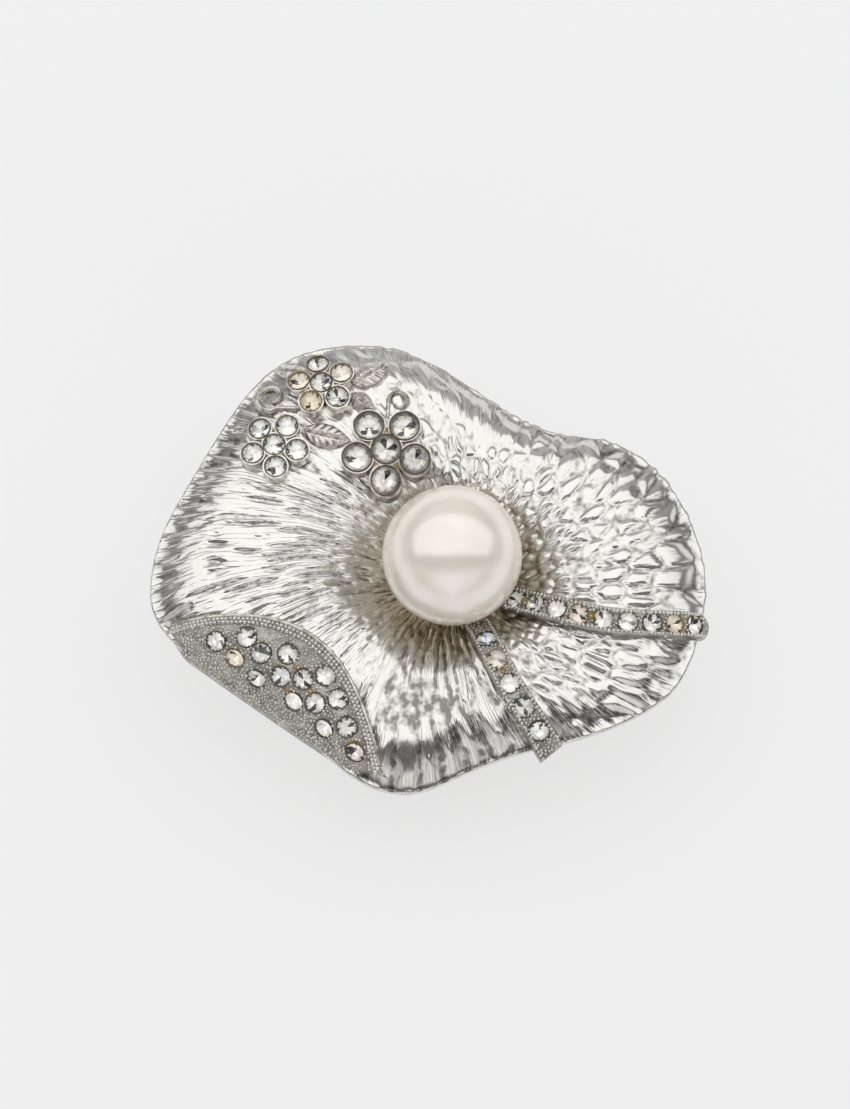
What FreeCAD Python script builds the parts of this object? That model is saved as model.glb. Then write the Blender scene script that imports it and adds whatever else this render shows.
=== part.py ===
import FreeCAD, Part
import math
import os

import Sketcher

# Flower hair clip: a cast metal petal with a faux pearl, crystal bands and a floral spray,
# carried by two posts on a sprung barrette clasp.  Millimetres, +Z up.  The closed clasp
# rests on the plane Z = 0, X runs along the barrette, and the origin is under the middle.

Vector = FreeCAD.Vector

# ---------------------------------------------------------------- driving sizes
SIZES = [
    # the petal
    ("petal_length", 60.4),
    ("petal_width", 50.8),
    ("petal_thickness", 1.0),
    ("petal_x", 0.1),             # petal's middle from the origin, towards -X
    ("hub_offset_x", 2.55),       # middle of the flower from the middle of the petal
    ("hub_offset_y", 1.2),
    ("hub_height", 11.5),         # top of the petal under the pearl
    # the pearl and its seat
    ("pearl_diameter", 15.0),
    ("pearl_fit", 0.05),
    ("cup_floor", 1.0),
    ("cup_base_radius", 3.2),
    ("cup_mouth_radius", 4.2),
    ("cup_wall", 0.4),
    ("post_radius", 0.8),
    ("post_depth", 5.0),          # how far the post reaches into the pearl
    ("post_head_radius", 1.5),
    ("post_head_height", 0.4),
    ("post_fit", 0.03),
    # relief on the petal
    ("band_width", 2.8),
    ("band_rise", 1.2),
    ("band_overhang", 0.8),
    ("band_gap", 1.7),            # from the pearl cup to the start of a band
    ("turnover_depth", 8.0),
    ("turnover_reach", 1.15),
    ("turnover_lift", 3.0),
    ("turnover_thickness", 1.35),
    ("cup_rise", 1.6),            # height of the flowers' stone cups
    ("leaf_rise", 0.9),
    ("tendril_rise", 0.8),
    ("spray_gap", 2.2),           # from the pearl to the nearest flower
    # stones
    ("stone_diameter", 2.07),
    ("flower_stone_diameter", 2.25),
    ("large_stone_diameter", 3.05),
    ("stone_fit", 0.03),
    ("stone_sink", 0.15),         # girdle of a stone under the top of its metal
    ("cup_rim", 0.3),             # metal round a stone of a flower
    # the barrette's top bar
    ("bar_length", 50.0),
    ("bar_width", 8.0),
    ("bar_thickness", 0.8),
    ("bar_top", 9.9),
    ("bar_arch", 2.0),
    ("mount_radius", 1.6),
    ("mount_spread", 11.0),       # each mounting post from the middle of the bar
    ("rivet_radius", 0.7),
    ("rivet_head_radius", 1.2),
    ("rivet_head_height", 0.3),
    # hinge
    ("pin_radius", 0.5),
    ("pin_height", 5.3),
    ("pin_inset", 1.0),
    ("pin_head_radius", 0.8),
    ("pin_head_height", 0.3),
    ("running_fit", 0.05),
    ("ear_radius", 1.0),
    ("ear_thickness", 0.6),
    ("ear_gap", 0.1),
    ("ear_gap_room", 0.5),        # the gap between a pair of ears is cut this far past them
    # closing arm
    ("arm_thickness", 0.7),
    ("arm_lift", 1.2),
    ("arm_arch", 0.3),
    ("heel_reach", 2.5),
    ("heel_flat", 1.5),
    ("heel_ramp", 2.0),
    ("toe_ramp", 1.2),
    ("toe_length", 1.75),
    # tension bow
    ("bow_thickness", 0.4),
    ("bow_width", 4.8),
    ("bow_reach", 16.5),
    ("bow_sag", 1.3),
    ("bow_root_drop", 0.55),      # underside of the bow over the pin's axis
    ("bow_end_drop", 1.3),
    ("knuckle_radius", 0.9),
    # catch
    ("catch_inset", 2.5),
    ("plate_length", 3.6),
    ("plate_width", 6.0),
    ("plate_underside", 6.5),
    ("plate_top", 7.9),
    ("catch_rivet_radius", 0.6),
    ("catch_head_radius", 1.0),
    ("leg_length", 2.6),
    ("leg_thickness", 0.5),
    ("leg_inner", 1.3),           # inner face of a leg from the middle of the bar
    ("leg_gap", 0.1),
    ("leg_tip", 0.15),
    ("leg_tip_thickness", 0.4),
    ("barb_reach", 0.25),
    ("barb_gap", 0.15),
    ("window_length", 3.9),
    ("window_fit", 0.05),
]

# sizes that follow from the driving ones
DERIVED = [
    ("hub_x", "=hub_offset_x - petal_x"),
    ("pearl_radius", "=pearl_diameter / 2"),
    ("pearl_height", "=hub_height + cup_floor + pearl_radius"),
    ("pearl_bore", "=post_radius + post_fit"),
    ("post_top", "=hub_height + cup_floor + post_depth"),
    ("post_bottom", "=hub_height - petal_thickness - post_head_height"),
    ("dish_radius", "=pearl_radius + pearl_fit"),
    ("dish_centre", "=cup_floor + pearl_radius"),
    ("cup_rim_radius", "=cup_mouth_radius + cup_wall"),
    ("cup_height", "=dish_centre - sqrt(dish_radius ^ 2 - cup_mouth_radius ^ 2)"),
    ("dish_floor", "=dish_centre - sqrt(dish_radius ^ 2 - pearl_bore ^ 2)"),
    ("half_bar", "=bar_length / 2"),
    ("bar_arc_radius", "=half_bar ^ 2 / (2 * bar_arch) + bar_arch / 2"),
    ("bar_end_top", "=bar_top - bar_arch"),
    ("bar_end_bottom", "=bar_end_top - bar_thickness"),
    ("pin_x", "=half_bar - pin_inset"),
    ("pin_bore", "=pin_radius + running_fit"),
    ("ear_start", "=pin_x + ear_radius"),
    ("ear_end", "=pin_x - ear_radius"),
    ("ear_inside", "=bar_width - 2 * ear_thickness"),
    ("arm_ear_outside", "=ear_inside - 2 * ear_gap"),
    ("arm_ear_inside", "=arm_ear_outside - 2 * ear_thickness"),
    ("bar_ear_top", "=bar_end_bottom + bar_thickness / 2"),
    ("catch_x", "=half_bar - catch_inset"),
    ("arm_heel", "=pin_x + heel_reach"),
    ("heel_end", "=pin_x - heel_flat"),
    ("arch_start", "=heel_end - heel_ramp"),
    ("window_start", "=catch_x - window_length / 2"),
    ("window_end", "=catch_x + window_length / 2"),
    ("arch_end", "=window_start - arm_thickness"),
    ("toe_bend", "=window_end + arm_thickness"),
    ("toe_start", "=toe_bend + toe_ramp"),
    ("toe_end", "=toe_start + toe_length"),
    ("arm_top", "=arm_lift + arm_thickness"),
    ("arm_span", "=arch_start + arch_end"),
    ("arm_arc_radius", "=arm_span ^ 2 / (8 * arm_arch) + arm_arch / 2"),
    ("arm_ear_top", "=pin_height + ear_radius + ear_gap_room"),
    ("bow_start", "=pin_x - pin_radius * 0.6"),
    ("bow_root_bottom", "=pin_height + bow_root_drop"),
    ("bow_root_top", "=bow_root_bottom + bow_thickness"),
    ("bow_end_bottom", "=pin_height + bow_end_drop"),
    ("bow_end_top", "=bow_end_bottom + bow_thickness"),
    ("bow_chord", "=sqrt((bow_start + bow_reach) ^ 2 + (bow_end_drop - bow_root_drop) ^ 2)"),
    ("bow_arc_radius", "=bow_chord ^ 2 / (8 * bow_sag) + bow_sag / 2"),
    ("leg_outer", "=leg_inner + leg_thickness"),
    ("leg_tip_outer", "=leg_inner + leg_tip_thickness"),
    ("barb_outer", "=leg_outer + barb_reach"),
    ("barb_height", "=arm_lift - barb_gap"),
    ("leg_root", "=plate_underside - leg_gap"),
    ("window_half_width", "=barb_outer + window_fit"),
    ("half_arm_thickness", "=arm_thickness / 2"),
    ("rivet_bore", "=rivet_radius + post_fit"),
    ("catch_bore", "=catch_rivet_radius + post_fit"),
    ("pin_length", "=bar_width + 2 * pin_head_height"),
    ("crest_room", "=hub_height - bar_end_top + pearl_radius"),
    ("mount_bar_top", "=bar_top - bar_arc_radius + sqrt(bar_arc_radius ^ 2 - mount_spread ^ 2)"),
    ("rivet_bottom", "=mount_bar_top - bar_thickness - rivet_head_height"),
    ("rivet_head_room", "=rivet_head_height + bar_thickness / 2"),
    ("rivet_length", "=bar_thickness + 4 * rivet_radius"),
    ("catch_bar_top", "=bar_top - bar_arc_radius + sqrt(bar_arc_radius ^ 2 - catch_x ^ 2)"),
    ("catch_rivet_bottom", "=plate_underside - rivet_head_height"),
    ("catch_rivet_length", "=catch_bar_top + rivet_head_height / 2 - catch_rivet_bottom"),
]

# ---------------------------------------------------------------- the flower's own shape
# The petal's edge, as shares of half its length and half its width from its middle.
OUTLINE = [
    (-0.999, -0.142), (-0.944, 0.189), (-0.857, 0.392), (-0.757, 0.606), (-0.652, 0.793),
    (-0.515, 0.935), (-0.336, 0.998), (-0.156, 0.992), (0.007, 0.919), (0.169, 0.795),
    (0.330, 0.663), (0.474, 0.591), (0.636, 0.561), (0.791, 0.467), (0.906, 0.307),
    (0.978, 0.104), (1.000, -0.096), (0.960, -0.346), (0.877, -0.551), (0.726, -0.685),
    (0.510, -0.783), (0.294, -0.843), (0.114, -0.921), (-0.065, -0.996), (-0.184, -0.976),
    (-0.425, -0.764), (-0.730, -0.504), (-0.942, -0.303),
]

# How the petal swells and rolls down, by direction from the hub: degrees, rise of the
# crest over the hub, drop of the rim under the crest, share of the radius where it rolls.
LOBES = [
    (0, 4.5, 4.0, 0.62),
    (45, 4.2, 2.5, 0.70),
    (110, 4.5, 3.0, 0.75),
    (175, 4.5, 3.5, 0.78),
    (225, 3.0, 2.6, 0.60),
    (265, 3.8, 3.6, 0.65),
    (310, 4.0, 2.0, 0.70),
]
DISH_SHARE = 0.13        # flat part under the pearl, share of the radius
CREST_SHARE = 0.52       # where the petal reaches its crest
ROLL_POWER = 2.4         # how sharply the rim rolls down
ROLL_OUT = 2.0           # past the rim the fall eases out over this distance
GRID_STEP = 2.6          # spacing of the points that carry the petal's surface
EDGE_ROOM = 2.5          # how far that surface goes on past the petal's size
RIM_POINTS = 240         # places along the outline at which its reach is measured
CUP_FLAT_MARGIN = 0.2    # the flat under the pearl's cup is this much wider

# Bands of stones: direction of the inner and outer end, sideways bow, inner and outer
# margin of the stones.
RIGHT_BAND = (-23.3, -11.6, -2.1, 1.3, 1.7)
LOWER_BAND = (-64.2, -62.1, -0.64, 2.9, 2.8)
STONE_PITCH = 1.30       # along a band, in stone diameters
BAND_POINTS = 6          # places that carry a band's centre line
BAND_SAMPLES = 120       # short chords along which that line is measured
STRIP_SAMPLES = 14       # places that carry each side of a band

# The turned-over edge follows the straight of the outline between these two places.
FOLD_START = (-0.9503, -0.2835)
FOLD_END = (-0.1540, -0.9488)
FOLD_PEAK = 0.4          # where across the fold it stands highest
FOLD_FREE_EDGE = 0.55    # height left at the free edge, share of the lift
FOLD_LIP = 0.25          # height of the fold's thin ends over the petal
FOLD_TAPER = 0.6         # how fast the fold rises from its ends: 1 slowly, 0 at once
FOLD_TIP = 0.02          # share of the length at each end where the height stays the same
FOLD_LEAST = 0.5         # the least depth that the curl is spread over
FOLD_PAST = 1.15         # the curl runs on this far past the free edge, share of the depth
FOLD_STEP = 1.9          # spacing of the fold's surface points along it
FOLD_CROSS_STEP = 1.1    # and across it
FOLD_ROOM = (2.0, 1.0, 1.5)  # that surface past the ends, the fold line and the free edge
FOLD_ARCH_STEP = 2.5     # spacing of the points that carry the free edge
FOLD_CORNER = 0.6        # the outer corners stand this far past the ends

# Stones on the turned-over edge, along it from its middle and in from the fold line, in
# stone diameters: an outer, a middle and an inner staggered row.
TURNOVER_LAYOUT = [
    (-4.06, 0.68), (-2.75, 0.53), (-1.28, 0.36), (1.01, 0.48), (3.10, 0.24), (5.12, 0.14),
    (-2.80, 1.70), (-1.70, 1.44), (-0.19, 1.06), (0.87, 1.60), (2.06, 0.97), (4.10, 0.90),
    (-0.53, 2.22), (1.67, 2.46), (2.90, 1.83),
]

# Flowers of the spray: turned so that their first petal points this way (degrees), and
# the radius of their ring of petals in stone diameters.
RIGHT_FLOWER = (125.0, 1.08)
LEFT_FLOWER = (130.0, 1.13)
TOP_FLOWER = (100.0, 1.11)
RIGHT_FLOWER_WAY = 118.7     # from the hub
LEFT_FLOWER_WAY = 177.6      # from the right flower
TOP_FLOWER_WAY = 55.4        # from the left flower
LEFT_FLOWER_GAP = 3.1
TOP_FLOWER_GAP = 0.96
FLOWER_PETALS = 5

# Leaves: the flower they stand by, base and tip from its middle, and width.
LEAVES = [
    ("leaf_top_right", "top", (3.5, 0.0), (7.5, 2.9), 2.7),
    ("leaf_top_left", "top", (-1.4, 1.3), (-5.4, 3.1), 2.0),
    ("leaf_middle", "left", (2.9, 2.1), (8.3, 0.7), 2.7),
    ("leaf_small", "top", (3.3, -0.9), (5.7, -2.8), 1.9),
]
LEAF_BELLY = 0.45        # where along a leaf it is widest

# Scrolls: the flower they stand by, the eye from its middle, outer and inner radius,
# where the turn starts (degrees) and how many turns it makes, the stem's end from the
# eye, half the wire's width, and the number of places that carry each side.
SCROLLS = [
    ("tendril_left", "top", (-5.6, -1.0), 1.65, 0.6, -60.0, -1.05, (2.9, -1.6), 0.28, 40),
    ("tendril_right", "right", (1.3, 5.9), 1.1, 0.45, 190.0, -0.95, (-1.2, -1.8), 0.22, 36),
]
SCROLL_POINTS = 8        # places that carry one full turn

# Chatons: share of the radius
TABLE_SHARE = 0.55
CROWN_SHARE = 0.35
PAVILION_SHARE = 0.70
FACETS = 8
SEAM_TURN = 40           # degrees

document = FreeCAD.newDocument("FlowerHairClip")
sheet = document.addObject("Spreadsheet::Sheet", "Sizes")
for row, (alias, content) in enumerate(SIZES + DERIVED, start=1):
    sheet.set(f"A{row}", alias)
    sheet.set(f"B{row}", str(content))
    sheet.setAlias(f"B{row}", alias)
document.recompute()


def size(name):
    """A size from the sheet; a leading minus mirrors it and "0" is the axis."""
    if name == "0":
        return 0.0
    if name.startswith("-"):
        return -float(sheet.get(name[1:]))
    return float(sheet.get(name))


# ---------------------------------------------------------------- helpers for parametric pieces
def bind(item, bindings):
    """Tie properties of a document object to cells of the sheet."""
    for name, formula in bindings.items():
        item.setExpression(name, formula)


def plane_of(body, role):
    """An origin plane of the body."""
    return [item for item in body.Origin.OriginFeatures if item.Role == role][0]


def sketch_on(body, name, role):
    sketch = body.newObject("Sketcher::SketchObject", name)
    sketch.AttachmentSupport = [(plane_of(body, role), "")]
    sketch.MapMode = "FlatFace"
    return sketch


def pin_coordinate(sketch, kind, edge, end, name):
    """Hold one coordinate of a corner at a sheet size."""
    if name == "0":
        axis = -2 if kind == "DistanceX" else -1
        sketch.addConstraint(Sketcher.Constraint("PointOnObject", edge, end, axis))
        return
    amount = size(name)
    order = (-1, 1, edge, end) if amount > 0 else (edge, end, -1, 1)
    number = sketch.addConstraint(Sketcher.Constraint(kind, *order, abs(amount)))
    sketch.setExpression(f"Constraints[{number}]", f"Sizes.{name.lstrip('-')}")


def arc_between(first, last, radius, bulge):
    """An arc from first to last that bulges to the right (+1) or left (-1) of the way."""
    along = last - first
    left = Vector(-along.y, along.x, 0).normalize()
    depth = math.sqrt(max(radius ** 2 - along.Length ** 2 / 4, 0.0))
    centre = (first + last) / 2 + left * depth * bulge
    start, end = (first, last) if bulge > 0 else (last, first)
    from_angle = math.atan2(start.y - centre.y, start.x - centre.x)
    to_angle = math.atan2(end.y - centre.y, end.x - centre.x)
    if to_angle < from_angle:
        to_angle += 2 * math.pi
    circle = Part.Circle(centre, Vector(0, 0, 1), radius)
    return Part.ArcOfCircle(circle, from_angle, to_angle)


def profile(sketch, corners, arcs=None):
    """A closed outline through corners given as pairs of sheet sizes.

    arcs maps the number of an edge to its (radius size, bulge)."""
    arcs = arcs or {}
    points = [Vector(size(across), size(up), 0) for across, up in corners]
    ends = []
    for number, point in enumerate(points):
        following = points[(number + 1) % len(points)]
        if number in arcs:
            radius, bulge = arcs[number]
            edge = sketch.addGeometry(arc_between(point, following, size(radius), bulge), False)
            ends.append((edge, 1, 2) if bulge > 0 else (edge, 2, 1))
        else:
            edge = sketch.addGeometry(Part.LineSegment(point, following), False)
            ends.append((edge, 1, 2))
    for number, (edge, _, last) in enumerate(ends):
        next_edge, next_first, _ = ends[(number + 1) % len(ends)]
        sketch.addConstraint(Sketcher.Constraint("Coincident", edge, last, next_edge, next_first))
    for (edge, first, _), (across, up) in zip(ends, corners):
        pin_coordinate(sketch, "DistanceX", edge, first, across)
        pin_coordinate(sketch, "DistanceY", edge, first, up)
    for number, (radius, _) in arcs.items():
        constraint = sketch.addConstraint(
            Sketcher.Constraint("Radius", ends[number][0], size(radius)))
        sketch.setExpression(f"Constraints[{constraint}]", f"Sizes.{radius}")


def disc(sketch, across, up, radius):
    """A circle whose centre and radius are sheet sizes."""
    centre = Vector(size(across), size(up), 0)
    circle = sketch.addGeometry(Part.Circle(centre, Vector(0, 0, 1), size(radius)), False)
    pin_coordinate(sketch, "DistanceX", circle, 3, across)
    pin_coordinate(sketch, "DistanceY", circle, 3, up)
    number = sketch.addConstraint(Sketcher.Constraint("Radius", circle, size(radius)))
    sketch.setExpression(f"Constraints[{number}]", f"Sizes.{radius}")


def extrude(body, kind, name, sketch, length):
    """A pad or pocket the same distance to both sides of its sketch."""
    feature = body.newObject(kind, name)
    feature.Profile = sketch
    feature.SideType = "Symmetric"
    feature.setExpression("Length", length)
    return feature


sub_parts = []


def name_piece(item, name):
    """Give a finished sub-part its label and list it."""
    item.Label = name
    sub_parts.append(item)
    return item


def new_body(name):
    return name_piece(document.addObject("PartDesign::Body", name), name)


def cylinder(name, radius, height, at, turn=None):
    """A Part cylinder with its sizes and place tied to the sheet."""
    item = document.addObject("Part::Cylinder", name)
    bind(item, {"Radius": radius, "Height": height})
    if turn:
        item.Placement = FreeCAD.Placement(Vector(), turn)
    for axis, formula in zip("xyz", at):
        item.setExpression(f"Placement.Base.{axis}", formula)
    return item


def join(name, items):
    item = document.addObject("Part::MultiFuse", name)
    item.Shapes = items
    return item


def cut(name, base, tool):
    item = document.addObject("Part::Cut", name)
    item.Base = base
    item.Tool = tool
    return item


def shape_piece(name, shape):
    """A sub-part whose shape comes from Part's functions."""
    item = name_piece(document.addObject("Part::Feature", name), name)
    item.Shape = shape
    return item


# ---------------------------------------------------------------- the petal's surface
HUB = Vector(size("hub_x"), -size("hub_offset_y"), 0)
PETAL_MIDDLE = Vector(-size("petal_x"), 0, 0)
SKY = size("pearl_height") + size("pearl_radius")


def on_petal_plan(shares):
    """A place given as shares of the petal's half length and half width."""
    across = PETAL_MIDDLE.x + shares[0] * size("petal_length") / 2
    up = PETAL_MIDDLE.y + shares[1] * size("petal_width") / 2
    return Vector(across, up, 0)


def spline(points, closed=False):
    curve = Part.BSplineCurve()
    curve.interpolate(Points=points, PeriodicFlag=closed)
    return curve


def smooth(share):
    share = min(max(share, 0.0), 1.0)
    return share * share * (3.0 - 2.0 * share)


outline_curve = spline([on_petal_plan(shares) for shares in OUTLINE], closed=True)
RIM = sorted(
    (math.degrees(math.atan2(point.y - HUB.y, point.x - HUB.x)) % 360,
     math.hypot(point.x - HUB.x, point.y - HUB.y))
    for point in outline_curve.discretize(Number=RIM_POINTS + 1)[:-1])


def rim_radius(degrees):
    """Distance from the hub to the petal's edge in a direction."""
    degrees %= 360
    wrapped = [(RIM[-1][0] - 360, RIM[-1][1])] + RIM + [(RIM[0][0] + 360, RIM[0][1])]
    for (low, low_radius), (high, high_radius) in zip(wrapped, wrapped[1:]):
        if low <= degrees <= high:
            share = (degrees - low) / max(high - low, 1e-9)
            return low_radius + share * (high_radius - low_radius)
    return RIM[0][1]


def lobe(degrees):
    """Crest rise, rim drop and roll start in a direction, eased between the lobes."""
    degrees %= 360
    rows = LOBES + [(LOBES[0][0] + 360, *LOBES[0][1:])]
    for low, high in zip(rows, rows[1:]):
        if low[0] <= degrees <= high[0]:
            share = smooth((degrees - low[0]) / (high[0] - low[0]))
            return [a + share * (b - a) for a, b in zip(low[1:], high[1:])]
    return LOBES[0][1:]


def petal_height(across, up):
    """Top of the petal over a place in plan."""
    radius = math.hypot(across - HUB.x, up - HUB.y)
    degrees = math.degrees(math.atan2(up - HUB.y, across - HUB.x))
    rim = rim_radius(degrees)
    rise, drop, start = lobe(degrees)
    share = radius / rim
    swell = rise * smooth((share - DISH_SHARE) / (CREST_SHARE - DISH_SHARE))
    roll = (share - start) / (1 - start)
    if roll <= 0:
        fall = 0.0
    elif roll <= 1:
        fall = drop * roll ** ROLL_POWER
    else:
        slope = drop * ROLL_POWER / (rim * (1 - start))
        fall = drop + slope * ROLL_OUT * (1 - math.exp((rim - radius) / ROLL_OUT))
    return size("hub_height") + swell - fall


def normal_of(height, across, up, step=0.4):
    """Unit normal of a surface given as a height function."""
    slope_x = (height(across + step, up) - height(across - step, up)) / (2 * step)
    slope_y = (height(across, up + step) - height(across, up - step)) / (2 * step)
    return Vector(-slope_x, -slope_y, 1).normalize()


def surface_through(rows):
    surface = Part.BSplineSurface()
    surface.interpolate(rows)
    return surface.toShape()


def steps(low, high, spacing):
    count = max(int(math.ceil((high - low) / spacing)), 2)
    return [low + (high - low) * number / count for number in range(count + 1)]


half_length = size("petal_length") / 2 + EDGE_ROOM
half_width = size("petal_width") / 2 + EDGE_ROOM
petal_top = surface_through([
    [Vector(across, up, petal_height(across, up))
     for up in steps(PETAL_MIDDLE.y - half_width, PETAL_MIDDLE.y + half_width, GRID_STEP)]
    for across in steps(PETAL_MIDDLE.x - half_length, PETAL_MIDDLE.x + half_length, GRID_STEP)])


def largest(shape):
    return max(shape.Solids, key=lambda solid: solid.Volume)


def prism(face):
    """A plan outline carried straight up past everything."""
    return face.extrude(Vector(0, 0, SKY))


def face_of(edges):
    return Part.Face(Part.Wire(edges))


def disc_prism(centre, radius):
    return Part.makeCylinder(radius, SKY, Vector(centre.x, centre.y, 0))


def relief(outline, rise):
    """Metal of this height standing on the petal inside a plan outline."""
    return petal_top.extrude(Vector(0, 0, rise)).common(outline)


petal_plate = petal_top.extrude(Vector(0, 0, -size("petal_thickness")))
petal_blank = petal_plate.common(prism(face_of([outline_curve.toShape()])))
# a hole for the pearl's post and a flat for its cup
cup_flat = Part.makeCylinder(size("cup_base_radius") + CUP_FLAT_MARGIN, SKY,
                             Vector(HUB.x, HUB.y, size("hub_height")))
petal_shape = petal_blank.cut([disc_prism(HUB, size("pearl_bore")), cup_flat])
shape_piece("petal", largest(petal_shape))


# ---------------------------------------------------------------- stones
def chaton(radius, centre, axis):
    """A cut stone: flat table, eight crown facets, eight pavilion facets."""
    turn = FreeCAD.Rotation(Vector(0, 0, 1), axis)

    def place(share, height, step):
        angle = 2 * math.pi * (step + 0.5) / FACETS
        flat = Vector(radius * share * math.cos(angle), radius * share * math.sin(angle), height)
        return centre + turn.multVec(flat)

    table = [place(TABLE_SHARE, radius * CROWN_SHARE, step) for step in range(FACETS)]
    girdle = [place(1.0, 0.0, step) for step in range(FACETS)]
    point = centre + turn.multVec(Vector(0, 0, -radius * PAVILION_SHARE))
    faces = [Part.Face(Part.makePolygon(table + table[:1]))]
    for step in range(FACETS):
        after = (step + 1) % FACETS
        crown = [girdle[step], girdle[after], table[after], table[step], girdle[step]]
        pavilion = [girdle[after], girdle[step], point, girdle[after]]
        faces.append(Part.Face(Part.makePolygon(crown)))
        faces.append(Part.Face(Part.makePolygon(pavilion)))
    solid = Part.Solid(Part.makeShell(faces))
    if solid.Volume < 0:
        solid.reverse()
    return solid


def seat(radius, centre, axis, twist):
    """The hole that a stone sits in: a cone to its point and a bore up to the open."""
    mouth = radius + size("stone_fit")
    depth = radius * PAVILION_SHARE + size("stone_fit")
    corners = [Vector(0, 0, -depth), Vector(mouth, 0, 0), Vector(mouth, 0, 3 * radius),
               Vector(0, 0, 3 * radius), Vector(0, 0, -depth)]
    half = Part.Face(Part.makePolygon(corners))
    cutter = half.revolve(Vector(), Vector(0, 0, 1), 360)
    upright = FreeCAD.Rotation(Vector(0, 0, 1), twist)
    tilt = FreeCAD.Rotation(Vector(0, 0, 1), axis)
    cutter.Placement = FreeCAD.Placement(centre, tilt.multiply(upright))
    return cutter


def drill_seat(metal, radius, centre, axis):
    """Cut one seat.  The bore's seam can fall on an edge of the metal, where the cut
    would take nothing away, so the seam is turned until the seat is really cut."""
    cone_volume = math.pi * radius ** 2 * radius * PAVILION_SHARE / 3
    for twist in range(0, 360, SEAM_TURN):
        drilled = largest(metal.cut(seat(radius, centre, axis, twist)))
        if metal.Volume - drilled.Volume > cone_volume / 2 and drilled.isValid():
            return drilled
    raise RuntimeError(f"no seat could be cut at {centre}")


def set_stones(metal, places, radius, height):
    """Cut seats in the metal and return it with its stones; height gives its top."""
    stones = []
    for place in places:
        axis = normal_of(height, place.x, place.y)
        top = Vector(place.x, place.y, height(place.x, place.y))
        centre = top - axis * size("stone_sink")
        metal = drill_seat(metal, radius, centre, axis)
        stones.append(chaton(radius, centre, axis))
    return metal, stones


# ---------------------------------------------------------------- bands of stones
def from_hub(degrees, distance):
    angle = math.radians(degrees)
    return HUB + Vector(math.cos(angle), math.sin(angle), 0) * distance


def band_path(inner_way, outer_way, bow):
    """A band's centre line in plan, from beside the pearl to past the rim."""
    start = from_hub(inner_way, size("cup_rim_radius") + size("band_gap"))
    end = from_hub(outer_way, rim_radius(outer_way) + size("band_overhang"))
    along = end - start
    left = Vector(-along.y, along.x, 0).normalize()
    shares = [step / (BAND_POINTS - 1) for step in range(BAND_POINTS)]
    return [start + along * share + left * bow * math.sin(math.pi * share) for share in shares]


def strip(path, half_width, samples=STRIP_SAMPLES):
    """A plan strip of constant width along a path."""
    curve = spline(path)
    left = []
    right = []
    low = curve.FirstParameter
    reach = curve.LastParameter - low
    for step in range(samples + 1):
        place = low + reach * step / samples
        way = curve.tangent(place)[0]
        side = Vector(-way.y, way.x, 0) * half_width
        left.append(curve.value(place) + side)
        right.append(curve.value(place) - side)
    right.reverse()
    edges = [spline(left).toShape(), Part.makeLine(left[-1], right[0]),
             spline(right).toShape(), Part.makeLine(right[-1], left[0])]
    return prism(face_of(edges))


def band_stone_places(path, height, inner_margin, outer_margin):
    """Places evenly spaced along the raised centre line."""
    dense = [Vector(point.x, point.y, height(point.x, point.y))
             for point in spline(path).discretize(Number=BAND_SAMPLES + 1)]
    run = [0.0]
    for first, following in zip(dense, dense[1:]):
        run.append(run[-1] + first.distanceToPoint(following))
    room = run[-1] - inner_margin - outer_margin
    gaps = max(int(round(room / (STONE_PITCH * size("stone_diameter")))), 1)
    places = []
    for number in range(gaps + 1):
        goal = inner_margin + room * number / gaps
        nearest = min(range(len(run)), key=lambda step: abs(run[step] - goal))
        places.append(dense[nearest])
    return places


def band_height(across, up):
    return petal_height(across, up) + size("band_rise")


def make_band(name, layout, round_end):
    inner_way, outer_way, bow, inner_margin, outer_margin = layout
    path = band_path(inner_way, outer_way, bow)
    half_width = size("band_width") / 2
    if round_end:
        # the strip stops short, and a disc rounds it off at the same reach
        backing = (path[-2] - path[-1]).normalize() * half_width
        path[-1] = path[-1] + backing
        outline = strip(path, half_width).fuse(disc_prism(path[-1], half_width))
        outer_margin -= half_width
    else:
        outline = strip(path, half_width)
    metal = largest(relief(outline, size("band_rise")))
    places = band_stone_places(path, band_height, inner_margin, outer_margin)
    metal, stones = set_stones(metal, places, size("stone_diameter") / 2, band_height)
    shape_piece(name, metal)
    shape_piece(name + "_stones", Part.makeCompound(stones))


make_band("right_band", RIGHT_BAND, True)
make_band("lower_band", LOWER_BAND, False)


# ---------------------------------------------------------------- the turned-over edge
fold_from = on_petal_plan(FOLD_START)
fold_to = on_petal_plan(FOLD_END)
FOLD_LENGTH = fold_from.distanceToPoint(fold_to)
FOLD_ALONG = (fold_to - fold_from).normalize()
FOLD_IN = Vector(-FOLD_ALONG.y, FOLD_ALONG.x, 0)


def on_fold(along, inward):
    return fold_from + FOLD_ALONG * along + FOLD_IN * inward


def fold_depth(along):
    """How far in the free edge lies: one arch from end to end of the fold."""
    share = min(max(along / FOLD_LENGTH, 0.0), 1.0)
    return size("turnover_depth") * math.sin(math.pi * share)


def turnover_height(across, up):
    """Top of the turned-over edge over a place in plan."""
    offset = Vector(across, up, 0) - fold_from
    along = offset.dot(FOLD_ALONG)
    reach = size("turnover_reach")
    width = max(fold_depth(along), FOLD_LEAST) + reach
    share = min(max((offset.dot(FOLD_IN) + reach) / width, 0.0), FOLD_PAST)
    run = min(max(along / FOLD_LENGTH, FOLD_TIP), 1 - FOLD_TIP)
    lift = (size("turnover_lift") - FOLD_LIP) * math.sin(math.pi * run) ** FOLD_TAPER
    if share < FOLD_PEAK:
        curl = math.sin(math.pi / 2 * share / FOLD_PEAK)
    else:
        curl = 1 - (1 - FOLD_FREE_EDGE) * smooth((share - FOLD_PEAK) / (1 - FOLD_PEAK))
    return petal_height(across, up) + FOLD_LIP + lift * curl


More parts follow.
